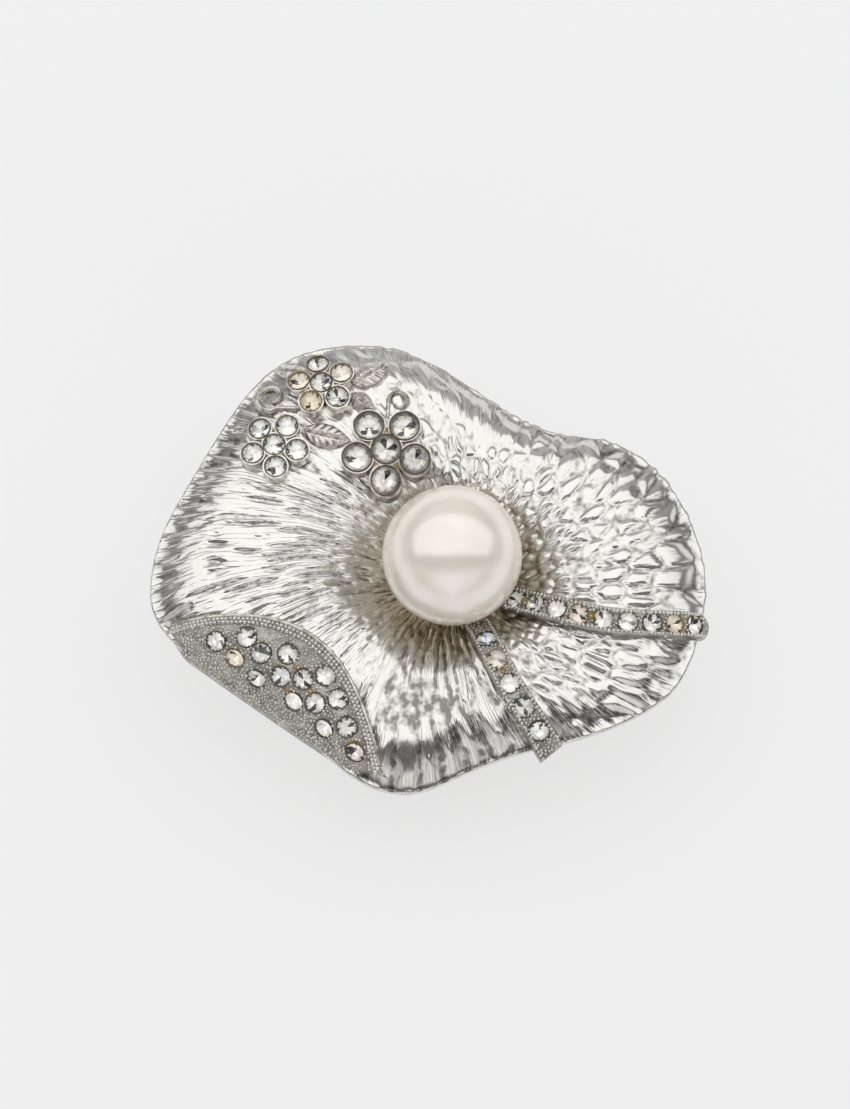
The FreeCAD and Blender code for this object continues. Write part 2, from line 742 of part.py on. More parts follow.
def make_turnover():
    reach = size("turnover_reach")
    ends, outside, inside = FOLD_ROOM
    rows = []
    for along in steps(-ends, FOLD_LENGTH + ends, FOLD_STEP):
        row = []
        for inward in steps(-reach - outside, size("turnover_depth") + inside, FOLD_CROSS_STEP):
            place = on_fold(along, inward)
            row.append(Vector(place.x, place.y, turnover_height(place.x, place.y)))
        rows.append(row)
    plate = surface_through(rows).extrude(Vector(0, 0, -size("turnover_thickness")))
    arch = [on_fold(along, fold_depth(along))
            for along in steps(0.0, FOLD_LENGTH, FOLD_ARCH_STEP)]
    outer = [on_fold(FOLD_LENGTH + FOLD_CORNER, -reach), on_fold(-FOLD_CORNER, -reach)]
    edges = [spline(arch).toShape(), Part.makeLine(arch[-1], outer[0]),
             Part.makeLine(outer[0], outer[1]), Part.makeLine(outer[1], arch[0])]
    metal = largest(plate.common(prism(face_of(edges))).cut(petal_blank))
    pitch = size("stone_diameter")
    places = [on_fold(FOLD_LENGTH / 2 + along * pitch, inward * pitch)
              for along, inward in TURNOVER_LAYOUT]
    metal, stones = set_stones(metal, places, size("stone_diameter") / 2, turnover_height)
    shape_piece("turnover", metal)
    shape_piece("turnover_stones", Part.makeCompound(stones))


make_turnover()


# ---------------------------------------------------------------- the spray of flowers
def flower_height(across, up):
    return petal_height(across, up) + size("cup_rise")


def flower_reach(stone, layout):
    """Outer radius of a flower's casting."""
    return size(stone) * layout[1] + size(stone) / 2 + size("cup_rim")


def make_flower(name, middle, stone, layout):
    turn, ring_share = layout
    cup = size(stone) / 2 + size("cup_rim")
    places = [middle]
    for number in range(FLOWER_PETALS):
        angle = math.radians(turn + 360.0 * number / FLOWER_PETALS)
        arm = Vector(math.cos(angle), math.sin(angle), 0) * size(stone) * ring_share
        places.append(middle + arm)
    outline = disc_prism(places[0], cup).fuse([disc_prism(place, cup) for place in places[1:]])
    metal = largest(relief(outline, size("cup_rise")))
    metal, stones = set_stones(metal, places, size(stone) / 2, flower_height)
    shape_piece(name, metal)
    shape_piece(name + "_stones", Part.makeCompound(stones))
    return outline


def direction(degrees):
    angle = math.radians(degrees)
    return Vector(math.cos(angle), math.sin(angle), 0)


right_reach = flower_reach("large_stone_diameter", RIGHT_FLOWER)
left_reach = flower_reach("flower_stone_diameter", LEFT_FLOWER)
top_reach = flower_reach("flower_stone_diameter", TOP_FLOWER)
right_middle = from_hub(RIGHT_FLOWER_WAY, size("pearl_radius") + size("spray_gap") + right_reach)
left_middle = right_middle + direction(LEFT_FLOWER_WAY) * (
    right_reach + LEFT_FLOWER_GAP + left_reach)
top_middle = left_middle + direction(TOP_FLOWER_WAY) * (left_reach + TOP_FLOWER_GAP + top_reach)

MIDDLES = {"right": right_middle, "left": left_middle, "top": top_middle}

taken = [
    make_flower("cluster_right", right_middle, "large_stone_diameter", RIGHT_FLOWER),
    make_flower("cluster_left", left_middle, "flower_stone_diameter", LEFT_FLOWER),
    make_flower("cluster_top", top_middle, "flower_stone_diameter", TOP_FLOWER),
]


def leaf_prism(base, tip, width):
    """A pointed leaf: two arcs from base to tip."""
    along = tip - base
    side = Vector(-along.y, along.x, 0).normalize() * width / 2
    belly = base + along * LEAF_BELLY
    edges = [Part.Arc(base, belly + side, tip).toShape(),
             Part.Arc(tip, belly - side, base).toShape()]
    return prism(face_of(edges))


def add_beside(name, outline, rise):
    """A piece of the spray, trimmed where another piece already stands."""
    free = outline.cut(taken)
    shape_piece(name, largest(relief(free, rise)))
    taken.append(outline)


def spiral(middle, outer, inner, start, turns, stem_to):
    """A scroll of wire from the end of its stem in to its eye."""
    count = int(SCROLL_POINTS * abs(turns))
    path = [middle + stem_to]
    for step in range(count + 1):
        share = step / count
        radius = outer + (inner - outer) * share
        path.append(middle + direction(start + 360 * turns * share) * radius)
    return path


for name, flower, base, tip, width in LEAVES:
    foot = MIDDLES[flower] + Vector(*base, 0)
    point = MIDDLES[flower] + Vector(*tip, 0)
    add_beside(name, leaf_prism(foot, point, width), size("leaf_rise"))
for name, flower, eye, outer, inner, start, turns, stem, half_wire, samples in SCROLLS:
    path = spiral(MIDDLES[flower] + Vector(*eye, 0), outer, inner, start, turns,
                  Vector(*stem, 0))
    add_beside(name, strip(path, half_wire, samples), size("tendril_rise"))

# ---------------------------------------------------------------- pearl, its cup and its post
HUB_PLACE = ("Sizes.hub_x", "-Sizes.hub_offset_y")

pearl_ball = document.addObject("Part::Sphere", "PearlBall")
bind(pearl_ball, {
    "Radius": "Sizes.pearl_radius",
    "Placement.Base.x": HUB_PLACE[0],
    "Placement.Base.y": HUB_PLACE[1],
    "Placement.Base.z": "Sizes.pearl_height",
})
pearl_drill = cylinder("PearlDrill", "Sizes.pearl_bore",
                       "Sizes.post_depth + Sizes.pearl_radius + Sizes.post_fit",
                       (*HUB_PLACE, "Sizes.post_top - Sizes.post_depth - Sizes.pearl_radius"))
pearl = cut("Pearl", pearl_ball, pearl_drill)
name_piece(pearl, "pearl")

pearl_cup = new_body("pearl_cup")
cup_profile = sketch_on(pearl_cup, "CupProfile", "XZ_Plane")
profile(cup_profile,
        [("pearl_bore", "0"), ("cup_base_radius", "0"), ("cup_rim_radius", "cup_height"),
         ("cup_mouth_radius", "cup_height"), ("pearl_bore", "dish_floor")],
        {3: ("dish_radius", -1)})
cup_turn = pearl_cup.newObject("PartDesign::Revolution", "CupTurn")
cup_turn.Profile = cup_profile
cup_turn.ReferenceAxis = (cup_profile, ["V_Axis"])
cup_turn.Angle = 360
bind(pearl_cup, {
    "Placement.Base.x": HUB_PLACE[0],
    "Placement.Base.y": HUB_PLACE[1],
    "Placement.Base.z": "Sizes.hub_height",
})

post_shank = cylinder("PostShank", "Sizes.post_radius", "Sizes.post_top - Sizes.post_bottom",
                      (*HUB_PLACE, "Sizes.post_bottom"))
post_head = cylinder("PostHead", "Sizes.post_head_radius", "Sizes.post_head_height",
                     (*HUB_PLACE, "Sizes.post_bottom"))
pearl_post = join("PearlPost", [post_shank, post_head])
name_piece(pearl_post, "pearl_post")

# ---------------------------------------------------------------- the barrette's top bar
base_bar = new_body("base_bar")
bar_profile = sketch_on(base_bar, "BarProfile", "XZ_Plane")
profile(bar_profile,
        [("-half_bar", "bar_end_bottom"), ("half_bar", "bar_end_bottom"),
         ("half_bar", "bar_end_top"), ("-half_bar", "bar_end_top")],
        {0: ("bar_arc_radius", -1), 2: ("bar_arc_radius", 1)})
extrude(base_bar, "PartDesign::Pad", "BarStrip", bar_profile, "Sizes.bar_width")
bar_ear_profile = sketch_on(base_bar, "BarEarProfile", "XZ_Plane")
profile(bar_ear_profile,
        [("-ear_start", "pin_height"), ("-ear_end", "pin_height"),
         ("-ear_end", "bar_ear_top"), ("-ear_start", "bar_ear_top")])
extrude(base_bar, "PartDesign::Pad", "BarEars", bar_ear_profile, "Sizes.bar_width")
bar_ear_round = sketch_on(base_bar, "BarEarRound", "XZ_Plane")
disc(bar_ear_round, "-pin_x", "pin_height", "ear_radius")
extrude(base_bar, "PartDesign::Pad", "BarEarEnds", bar_ear_round, "Sizes.bar_width")
bar_gap_profile = sketch_on(base_bar, "BarGapProfile", "XZ_Plane")
profile(bar_gap_profile,
        [("-arm_heel", "arm_top"), ("-heel_end", "arm_top"),
         ("-heel_end", "bar_end_bottom"), ("-arm_heel", "bar_end_bottom")])
extrude(base_bar, "PartDesign::Pocket", "BarEarGap", bar_gap_profile, "Sizes.ear_inside")
bar_pin_hole = sketch_on(base_bar, "BarPinHole", "XZ_Plane")
disc(bar_pin_hole, "-pin_x", "pin_height", "pin_bore")
extrude(base_bar, "PartDesign::Pocket", "BarPinBore", bar_pin_hole, "Sizes.bar_width * 1.5")
bar_rivet_holes = sketch_on(base_bar, "BarRivetHoles", "XY_Plane")
disc(bar_rivet_holes, "-mount_spread", "0", "rivet_bore")
disc(bar_rivet_holes, "mount_spread", "0", "rivet_bore")
disc(bar_rivet_holes, "catch_x", "0", "catch_bore")
extrude(base_bar, "PartDesign::Pocket", "BarRivetBores", bar_rivet_holes, "Sizes.bar_top * 3")

# ---------------------------------------------------------------- hinge pin
ALONG_Y = FreeCAD.Rotation(Vector(1, 0, 0), -90)
pin_shank = cylinder("PinShank", "Sizes.pin_radius", "Sizes.pin_length",
                     ("-Sizes.pin_x", "-Sizes.pin_length / 2", "Sizes.pin_height"), ALONG_Y)
pin_head_front = cylinder("PinHeadFront", "Sizes.pin_head_radius", "Sizes.pin_head_height",
                          ("-Sizes.pin_x", "-Sizes.pin_length / 2", "Sizes.pin_height"),
                          ALONG_Y)
pin_head_back = cylinder("PinHeadBack", "Sizes.pin_head_radius", "Sizes.pin_head_height",
                         ("-Sizes.pin_x", "Sizes.pin_length / 2 - Sizes.pin_head_height",
                          "Sizes.pin_height"), ALONG_Y)
hinge_pin = join("HingePin", [pin_shank, pin_head_front, pin_head_back])
name_piece(hinge_pin, "hinge_pin")

# ---------------------------------------------------------------- closing arm
closing_arm = new_body("closing_arm")
arm_profile = sketch_on(closing_arm, "ArmProfile", "XZ_Plane")
profile(arm_profile,
        [("-arm_heel", "0"), ("-heel_end", "0"), ("-arch_start", "arm_lift"),
         ("arch_end", "arm_lift"), ("toe_bend", "arm_lift"), ("toe_start", "0"),
         ("toe_end", "0"), ("toe_end", "arm_thickness"), ("toe_start", "arm_thickness"),
         ("toe_bend", "arm_top"), ("arch_end", "arm_top"), ("-arch_start", "arm_top"),
         ("-heel_end", "arm_thickness"), ("-arm_heel", "arm_thickness")],
        {2: ("arm_arc_radius", -1), 10: ("arm_arc_radius", 1)})
extrude(closing_arm, "PartDesign::Pad", "ArmStrip", arm_profile, "Sizes.bar_width")
arm_ear_profile = sketch_on(closing_arm, "ArmEarProfile", "XZ_Plane")
profile(arm_ear_profile,
        [("-ear_start", "half_arm_thickness"), ("-ear_end", "half_arm_thickness"),
         ("-ear_end", "pin_height"), ("-ear_start", "pin_height")])
extrude(closing_arm, "PartDesign::Pad", "ArmEars", arm_ear_profile, "Sizes.arm_ear_outside")
arm_ear_round = sketch_on(closing_arm, "ArmEarRound", "XZ_Plane")
disc(arm_ear_round, "-pin_x", "pin_height", "ear_radius")
extrude(closing_arm, "PartDesign::Pad", "ArmEarEnds", arm_ear_round, "Sizes.arm_ear_outside")
arm_gap_profile = sketch_on(closing_arm, "ArmGapProfile", "XZ_Plane")
profile(arm_gap_profile,
        [("-arm_heel", "arm_thickness"), ("-heel_end", "arm_thickness"),
         ("-heel_end", "arm_ear_top"), ("-arm_heel", "arm_ear_top")])
extrude(closing_arm, "PartDesign::Pocket", "ArmEarGap", arm_gap_profile,
        "Sizes.arm_ear_inside")
arm_pin_hole = sketch_on(closing_arm, "ArmPinHole", "XZ_Plane")
disc(arm_pin_hole, "-pin_x", "pin_height", "pin_bore")
extrude(closing_arm, "PartDesign::Pocket", "ArmPinBore", arm_pin_hole, "Sizes.bar_width")
arm_window = sketch_on(closing_arm, "ArmWindow", "XY_Plane")
profile(arm_window,
        [("window_start", "-window_half_width"), ("window_end", "-window_half_width"),
         ("window_end", "window_half_width"), ("window_start", "window_half_width")])
extrude(closing_arm, "PartDesign::Pocket", "CatchWindow", arm_window, "Sizes.arm_top * 3")

# ---------------------------------------------------------------- tension bow
tension_bow = new_body("tension_bow")
bow_profile = sketch_on(tension_bow, "BowProfile", "XZ_Plane")
profile(bow_profile,
        [("-bow_start", "bow_root_bottom"), ("bow_reach", "bow_end_bottom"),
         ("bow_reach", "bow_end_top"), ("-bow_start", "bow_root_top")],
        {0: ("bow_arc_radius", -1), 2: ("bow_arc_radius", 1)})
extrude(tension_bow, "PartDesign::Pad", "BowStrip", bow_profile, "Sizes.bow_width")
bow_knuckle = sketch_on(tension_bow, "BowKnuckle", "XZ_Plane")
disc(bow_knuckle, "-pin_x", "pin_height", "knuckle_radius")
extrude(tension_bow, "PartDesign::Pad", "BowKnuckleRound", bow_knuckle, "Sizes.bow_width")
bow_pin_hole = sketch_on(tension_bow, "BowPinHole", "XZ_Plane")
disc(bow_pin_hole, "-pin_x", "pin_height", "pin_bore")
extrude(tension_bow, "PartDesign::Pocket", "BowPinBore", bow_pin_hole, "Sizes.bar_width")

# ---------------------------------------------------------------- catch
plate_block = document.addObject("Part::Box", "PlateBlock")
bind(plate_block, {
    "Length": "Sizes.plate_length",
    "Width": "Sizes.plate_width",
    "Height": "Sizes.plate_top - Sizes.plate_underside",
    "Placement.Base.x": "Sizes.catch_x - Sizes.plate_length / 2",
    "Placement.Base.y": "-Sizes.plate_width / 2",
    "Placement.Base.z": "Sizes.plate_underside",
})
plate_hole = cylinder("PlateHole", "Sizes.catch_bore", "Sizes.bar_top",
                      ("Sizes.catch_x", "0", "0"))
plate_under_bar = cut("PlateUnderBar", plate_block, base_bar)
catch_plate = cut("CatchPlate", plate_under_bar, plate_hole)
name_piece(catch_plate, "catch_plate")


def make_leg(name, side):
    """A sprung leg with an outward barb; side is "" for +Y and "-" for -Y."""
    body = new_body(name)
    outline = sketch_on(body, name + "_profile", "YZ_Plane")
    profile(outline,
            [(side + "leg_inner", "leg_tip"), (side + "leg_tip_outer", "leg_tip"),
             (side + "barb_outer", "barb_height"), (side + "leg_outer", "barb_height"),
             (side + "leg_outer", "leg_root"), (side + "leg_inner", "leg_root")])
    extrude(body, "PartDesign::Pad", name + "_strip", outline, "Sizes.leg_length")
    body.setExpression("Placement.Base.x", "Sizes.catch_x")
    return body


catch_leg_back = make_leg("catch_leg_back", "")
catch_leg_front = make_leg("catch_leg_front", "-")

# ---------------------------------------------------------------- mounting posts and rivets
# everything from the petal's underside up, so that a post ends face to face with it
petal_underside = petal_top.translated(Vector(0, 0, -size("petal_thickness")))
above_posts = document.addObject("Part::Feature", "AbovePosts")
above_posts.Shape = petal_underside.extrude(Vector(0, 0, SKY))


def mounting_post(side, across):
    """A post from the bar's top to the petal's underside, bored for its rivet."""
    post = cylinder("Post" + side, "Sizes.mount_radius", "Sizes.crest_room",
                    (across, "0", "Sizes.mount_bar_top - Sizes.bar_thickness / 2"))
    bore = cylinder("PostBore" + side, "Sizes.rivet_bore",
                    "Sizes.rivet_length + Sizes.post_fit",
                    (across, "0", "Sizes.rivet_bottom"))
    return cut("PostBored" + side, post, bore)


def bar_rivet(side, across):
    """A rivet from under the bar up into the post's bore."""
    shank = cylinder("RivetShank" + side, "Sizes.rivet_radius", "Sizes.rivet_length",
                     (across, "0", "Sizes.rivet_bottom"))
    head = cylinder("RivetHead" + side, "Sizes.rivet_head_radius", "Sizes.rivet_head_room",
                    (across, "0", "Sizes.rivet_bottom"))
    trimmed = cut("RivetHeadTrimmed" + side, head, base_bar)
    return join("Rivet" + side, [shank, trimmed])


posts = join("Posts", [mounting_post("Left", "-Sizes.mount_spread"),
                       mounting_post("Right", "Sizes.mount_spread")])
posts_on_bar = cut("PostsOnBar", posts, base_bar)
mounting_posts = cut("MountingPosts", posts_on_bar, above_posts)
name_piece(mounting_posts, "mounting_posts")
bar_rivets = join("BarRivets", [bar_rivet("Left", "-Sizes.mount_spread"),
                                bar_rivet("Right", "Sizes.mount_spread")])
name_piece(bar_rivets, "bar_rivets")

catch_shank = cylinder("CatchShank", "Sizes.catch_rivet_radius", "Sizes.catch_rivet_length",
                       ("Sizes.catch_x", "0", "Sizes.catch_rivet_bottom"))
catch_lower_head = cylinder("CatchLowerHead", "Sizes.catch_head_radius",
                            "Sizes.rivet_head_height",
                            ("Sizes.catch_x", "0", "Sizes.catch_rivet_bottom"))
catch_upper_head = cylinder("CatchUpperHead", "Sizes.catch_head_radius",
                            "Sizes.rivet_head_height * 2",
                            ("Sizes.catch_x", "0",
                             "Sizes.catch_bar_top - Sizes.rivet_head_height"))
catch_upper_trimmed = cut("CatchUpperTrimmed", catch_upper_head, base_bar)
catch_rivet = join("CatchRivet", [catch_shank, catch_lower_head, catch_upper_trimmed])
name_piece(catch_rivet, "catch_rivet")

document.recompute()

# ---------------------------------------------------------------- checks and files
for item in document.Objects:
    if "Invalid" in item.State or "Error" in item.State:
        raise RuntimeError(f"{item.Name} did not build: {item.State}")
for item in sub_parts:
    if item.Shape.isNull() or not item.Shape.isValid():
        raise RuntimeError(f"{item.Label} has no valid shape")
os.makedirs("parts", exist_ok=True)
for item in sub_parts:
    item.Shape.exportStep(f"parts/{item.Label}.step")
    box = item.Shape.BoundBox
    print(f"{item.Label}: {len(item.Shape.Solids)} solids, {item.Shape.Volume:.2f} mm3, "
          f"X {box.XMin:.2f} to {box.XMax:.2f}, Y {box.YMin:.2f} to {box.YMax:.2f}, "
          f"Z {box.ZMin:.2f} to {box.ZMax:.2f}")
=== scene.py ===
import math
import random
from functools import partial

import bmesh
import bpy
import numpy as np
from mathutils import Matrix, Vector
from mathutils.bvhtree import BVHTree


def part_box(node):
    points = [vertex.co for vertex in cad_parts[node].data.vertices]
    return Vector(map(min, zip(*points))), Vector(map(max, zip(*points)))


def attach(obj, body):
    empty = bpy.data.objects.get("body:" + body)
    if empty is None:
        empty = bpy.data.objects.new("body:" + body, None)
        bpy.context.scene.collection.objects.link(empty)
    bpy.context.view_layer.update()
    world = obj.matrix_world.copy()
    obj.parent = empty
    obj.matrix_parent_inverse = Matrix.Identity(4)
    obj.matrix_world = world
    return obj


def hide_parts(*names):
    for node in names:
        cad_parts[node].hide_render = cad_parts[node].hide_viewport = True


bl_info = {"name": "Flower hair clip", "version": (1, 0, 0), "blender": (4, 5, 0),
           "location": "3D View > Sidebar > Hair clip",
           "description": "Finishes a cast metal flower hair clip with a faux pearl and crystal bands",
           "category": "Object",
}

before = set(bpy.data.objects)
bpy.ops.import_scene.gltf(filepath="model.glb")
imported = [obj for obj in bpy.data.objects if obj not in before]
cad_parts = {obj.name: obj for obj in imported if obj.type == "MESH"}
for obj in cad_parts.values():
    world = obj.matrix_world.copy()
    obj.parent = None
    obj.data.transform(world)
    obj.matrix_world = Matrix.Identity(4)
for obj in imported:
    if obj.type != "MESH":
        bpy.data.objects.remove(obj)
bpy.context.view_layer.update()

MM = 0.001
ORNAMENT = "ornament"

STONE_NODES = (
    "turnover_stones", "right_band_stones", "lower_band_stones",
    "cluster_top_stones", "cluster_left_stones", "cluster_right_stones",
)
CLUSTERS = ("cluster_top", "cluster_left", "cluster_right")
LEAVES = ("leaf_top_left", "leaf_top_right", "leaf_middle", "leaf_small")
SATIN_NODES = ("pearl_cup", "pearl_post", "mounting_posts")
CLASP_NODES = ("base_bar", "hinge_pin", "catch_plate", "catch_rivet", "bar_rivets", "closing_arm")
SPRING_NODES = ("tension_bow", "catch_leg_back", "catch_leg_front")


# ---------------------------------------------------------------- sizes and colours

def length(name, description, default, precision=5):
    """A length property, in metres."""
    return bpy.props.FloatProperty(name=name, description=description, default=default, unit="LENGTH",
        precision=precision)


class PetalSettings(bpy.types.PropertyGroup):
    """Sizes of the petal's hammered relief."""
    relief: length("Relief", "Height of the ridges", 0.30 * MM)
    groove_count: bpy.props.FloatProperty(name="Grooves",
        description="Long grooves all the way round the flower", default=142)
    pebble_count: bpy.props.FloatProperty(name="Pebbles",
        description="Hammered cells all the way round the flower", default=74)
    flute_count: bpy.props.FloatProperty(name="Flutes",
        description="Wide flutes all the way round the flower", default=54)
    bar_count: bpy.props.FloatProperty(name="Rim bars", description="Bars all the way round the rim",
        default=126)
    swirl: bpy.props.FloatProperty(name="Swirl", description="Turn of the grooves from hub to rim",
        default=math.radians(-14), subtype="ANGLE")
    seed: bpy.props.FloatProperty(name="Seed", description="Picks another casting", default=3.0)


class BeadSettings(bpy.types.PropertyGroup):
    """Sizes of the milgrain beads and the granulated ground."""
    bead: length("Bead", "Diameter of a milgrain bead", 0.42 * MM)
    bead_pitch: length("Bead pitch", "Distance from bead to bead", 0.46 * MM)
    edge_inset: length("Edge inset", "Bead line from the edge of its band", 0.27 * MM)
    grain: length("Grain", "Diameter of a grain of the ground", 0.36 * MM)
    grain_gap: length("Grain spacing", "Least distance between two grains", 0.33 * MM)
    turnover_depth: length("Turnover depth", "Deepest reach of the turned-over edge", 8.0 * MM)
    seed: bpy.props.IntProperty(name="Seed", description="Moves the grains", default=4)


class StoneSettings(bpy.types.PropertyGroup):
    """Cut of the crystal stones, as shares of the girdle radius."""
    table: bpy.props.FloatProperty(name="Table", description="Radius of the table", default=0.50)
    crown: bpy.props.FloatProperty(name="Crown", description="Height of the crown", default=0.38)
    pavilion: bpy.props.FloatProperty(name="Pavilion", description="Depth of the pavilion", default=0.68)


class PearlSettings(bpy.types.PropertyGroup):
    """The faux pearl."""
    colour: bpy.props.StringProperty(name="Colour", description="Lacquer colour as an sRGB hex value",
        default="FFF8EA")
    ripple: length("Ripple", "Unevenness of the lacquer", 0.02 * MM, precision=6)


class StageSettings(bpy.types.PropertyGroup):
    """Floor, light and camera."""
    elevation: bpy.props.FloatProperty(name="Elevation", description="Camera above the horizon",
        default=math.radians(72), subtype="ANGLE")
    lens: bpy.props.FloatProperty(name="Lens", description="Focal length in millimetres", default=100.0)
    height_seen: length("Height seen", "Height of the view at the flower", 120.5 * MM, precision=4)
    key_light: bpy.props.FloatProperty(name="Key light", description="Radiance of the large soft box",
        default=0.75)


# ---------------------------------------------------------------- small helpers

def linear(hex_colour):
    """Linear RGBA of an sRGB hex value."""
    parts = [int(hex_colour[i:i + 2], 16) / 255 for i in (0, 2, 4)]
    return [p / 12.92 if p <= 0.04045 else ((p + 0.055) / 1.055) ** 2.4 for p in parts] + [1.0]


def plug(node, links):
    """Sets a node's inputs; a link is a socket, a node (its first output) or a plain value."""
    for key, value in links.items():
        if isinstance(value, bpy.types.Node):
            value = value.outputs[0]
        if isinstance(value, bpy.types.NodeSocket):
            node.id_data.links.new(value, node.inputs[key])
        else:
            node.inputs[key].default_value = value


def add_node(tree, kind, links=None, stops=(), **settings):
    """Adds a node with its settings, its links and, on a ramp, its (place, hex colour) stops."""
    node = tree.nodes.new(kind)
    for key, value in settings.items():
        setattr(node, key, value)
    plug(node, links or {})
    for number, (place, colour) in enumerate(stops):
        elements = node.color_ramp.elements
        if number == 0:
            while len(elements) < len(stops):
                elements.new(0.5)
        elements[number].position = place
        elements[number].color = linear(colour)
    return node


def shader_tree(name):
    """A new material, what adds a node to it, and its Principled shader."""
    material = bpy.data.materials.new(name)
    material.use_nodes = True
    tree = material.node_tree
    return material, partial(add_node, tree), tree.nodes["Principled BSDF"]


def geometry_tree(name, inputs):
    """A new node tree, what adds a node to it, its named inputs and their identifiers."""
    tree = bpy.data.node_groups.new(name, "GeometryNodeTree")
    tree.interface.new_socket(name="Geometry", in_out="INPUT", socket_type="NodeSocketGeometry")
    tree.interface.new_socket(name="Geometry", in_out="OUTPUT", socket_type="NodeSocketGeometry")
    names = {}
    for label, kind in inputs:
        socket = tree.interface.new_socket(name=label, in_out="INPUT", socket_type="NodeSocket" + kind)
        names[label] = socket.identifier
    add = partial(add_node, tree)
    return tree, add, add("NodeGroupInput").outputs, names


def finish_tree(add, geometry, material):
    """Ends a tree in Realize Instances and Set Material."""
    real = add("GeometryNodeRealizeInstances", {0: geometry})
    dressed = add("GeometryNodeSetMaterial", {"Geometry": real, "Material": material})
    add("NodeGroupOutput", {0: dressed})


def grow(obj, tree, names, values):
    """Runs a geometry tree on the object and keeps the result as its own plain mesh."""
    modifier = obj.modifiers.new(tree.name, "NODES")
    modifier.node_group = tree
    for label, value in values.items():
        modifier[names[label]] = value
    depsgraph = bpy.context.evaluated_depsgraph_get()
    mesh = bpy.data.meshes.new_from_object(obj.evaluated_get(depsgraph), preserve_all_data_layers=True,
        depsgraph=depsgraph)
    obj.modifiers.clear()
    obj.data = mesh
    return obj


def show(name, data):
    """A new object of the scene, at the origin."""
    obj = bpy.data.objects.new(name, data)
    bpy.context.scene.collection.objects.link(obj)
    return obj


def outward(mesh):
    """Turns every face of a closed mesh outwards."""
    bm = bmesh.new()
    bm.from_mesh(mesh)
    bmesh.ops.recalc_face_normals(bm, faces=bm.faces)
    bm.to_mesh(mesh)
    bm.free()


def soften(mesh, degrees):
    """Shades faces that meet at less than the angle as one surface."""
    mesh.shade_smooth()
    mesh.set_sharp_from_angle(angle=math.radians(degrees))


def add_piece(name, points, faces, materials=(), smooth=None, closed=False):
    """A mesh piece; a closed one has its faces turned outwards, before it is shaded smooth."""
    mesh = bpy.data.meshes.new(name)
    mesh.from_pydata([tuple(p) for p in points], [], faces)
    for material in materials:
        mesh.materials.append(material)
    if closed:
        outward(mesh)
    if smooth is not None:
        soften(mesh, smooth)
    return show(name, mesh)


def settle(piece, slot, *nodes):
    """Rides the piece on the ornament and lets it stand for its CAD nodes; the slot is not used."""
    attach(piece, ORNAMENT)
    if nodes:
        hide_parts(*nodes)


def merged(node):
    """A bmesh copy of a CAD node with its loose triangles joined."""
    bm = bmesh.new()
    bm.from_mesh(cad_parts[node].data)
    bmesh.ops.remove_doubles(bm, verts=bm.verts, dist=0.002 * MM)
    return bm


def islands(node):
    """The corner points of each separate solid of a CAD node."""
    bm = merged(node)
    waiting, groups = set(bm.verts), []
    for first in bm.verts:      # in the mesh's own order, so that every run numbers them alike
        if first not in waiting:
            continue
        waiting.discard(first)
        front, group = [first], [first]
        while front:
            vertex = front.pop()
            for edge in vertex.link_edges:
                other = edge.other_vert(vertex)
                if other in waiting:
                    waiting.discard(other)
                    front.append(other)
                    group.append(other)
        groups.append(np.array([v.co[:] for v in group]))
    bm.free()
    return groups


def surface_of(*nodes):
    """A ray-casting tree over several CAD nodes."""
    points, faces = [], []
    for node in nodes:
        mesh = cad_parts[node].data
        start = len(points)
        points += [v.co.copy() for v in mesh.vertices]
        faces += [[start + i for i in p.vertices] for p in mesh.polygons]
    return BVHTree.FromPolygons(points, faces)


def height_at(surface, x, y, from_below=False):
    """Height of the surface at a place, seen from above or from below, or None beside it."""
    start, aim = ((-1.0, 1.0) if from_below else (1.0, -1.0))
    hit = surface.ray_cast(Vector((x, y, start)), Vector((0, 0, aim)))[0]
    return None if hit is None else hit.z


def smoothed(values, passes):
    """Softens a polar grid: round the flower without a seam, and along its rays."""
    for _ in range(passes):
        values = (np.roll(values, 1, 1) + 2 * values + np.roll(values, -1, 1)) / 4
        padded = np.vstack([values[:1], values, values[-1:]])
        values = (padded[:-2] + 2 * padded[1:-1] + padded[2:]) / 4
    return values


def stones_of(node):
    """(girdle centre, axis, girdle radius) of each stone of a CAD node."""
    found = []
    for points in islands(node):
        spans = np.linalg.norm(points[:, None] - points[None], axis=2)
        culet = points[np.argmin(spans.std(axis=1))]      # nearly as far from every other corner
        rest = points[np.linalg.norm(points - culet, axis=1) > 0.01 * MM]
        axis = rest.mean(0) - culet
        axis /= np.linalg.norm(axis)
        along = (rest - culet) @ axis
        away = np.linalg.norm(rest - culet - np.outer(along, axis), axis=1)
        girdle = away > away.max() * 0.98
        found.append((culet + axis * along[girdle].mean(), axis, away.max()))
    return found


HUB = Vector(((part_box("pearl")[0].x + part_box("pearl")[1].x) / 2,
              (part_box("pearl")[0].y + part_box("pearl")[1].y) / 2, 0.0))
PEARL_RADIUS = (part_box("pearl")[1].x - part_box("pearl")[0].x) / 2


# ---------------------------------------------------------------- finishes

FINISHES = {}


def finish(make):
    """The one material that a finish function makes."""
    if make.__name__ not in FINISHES:
        FINISHES[make.__name__] = make()
    return FINISHES[make.__name__]


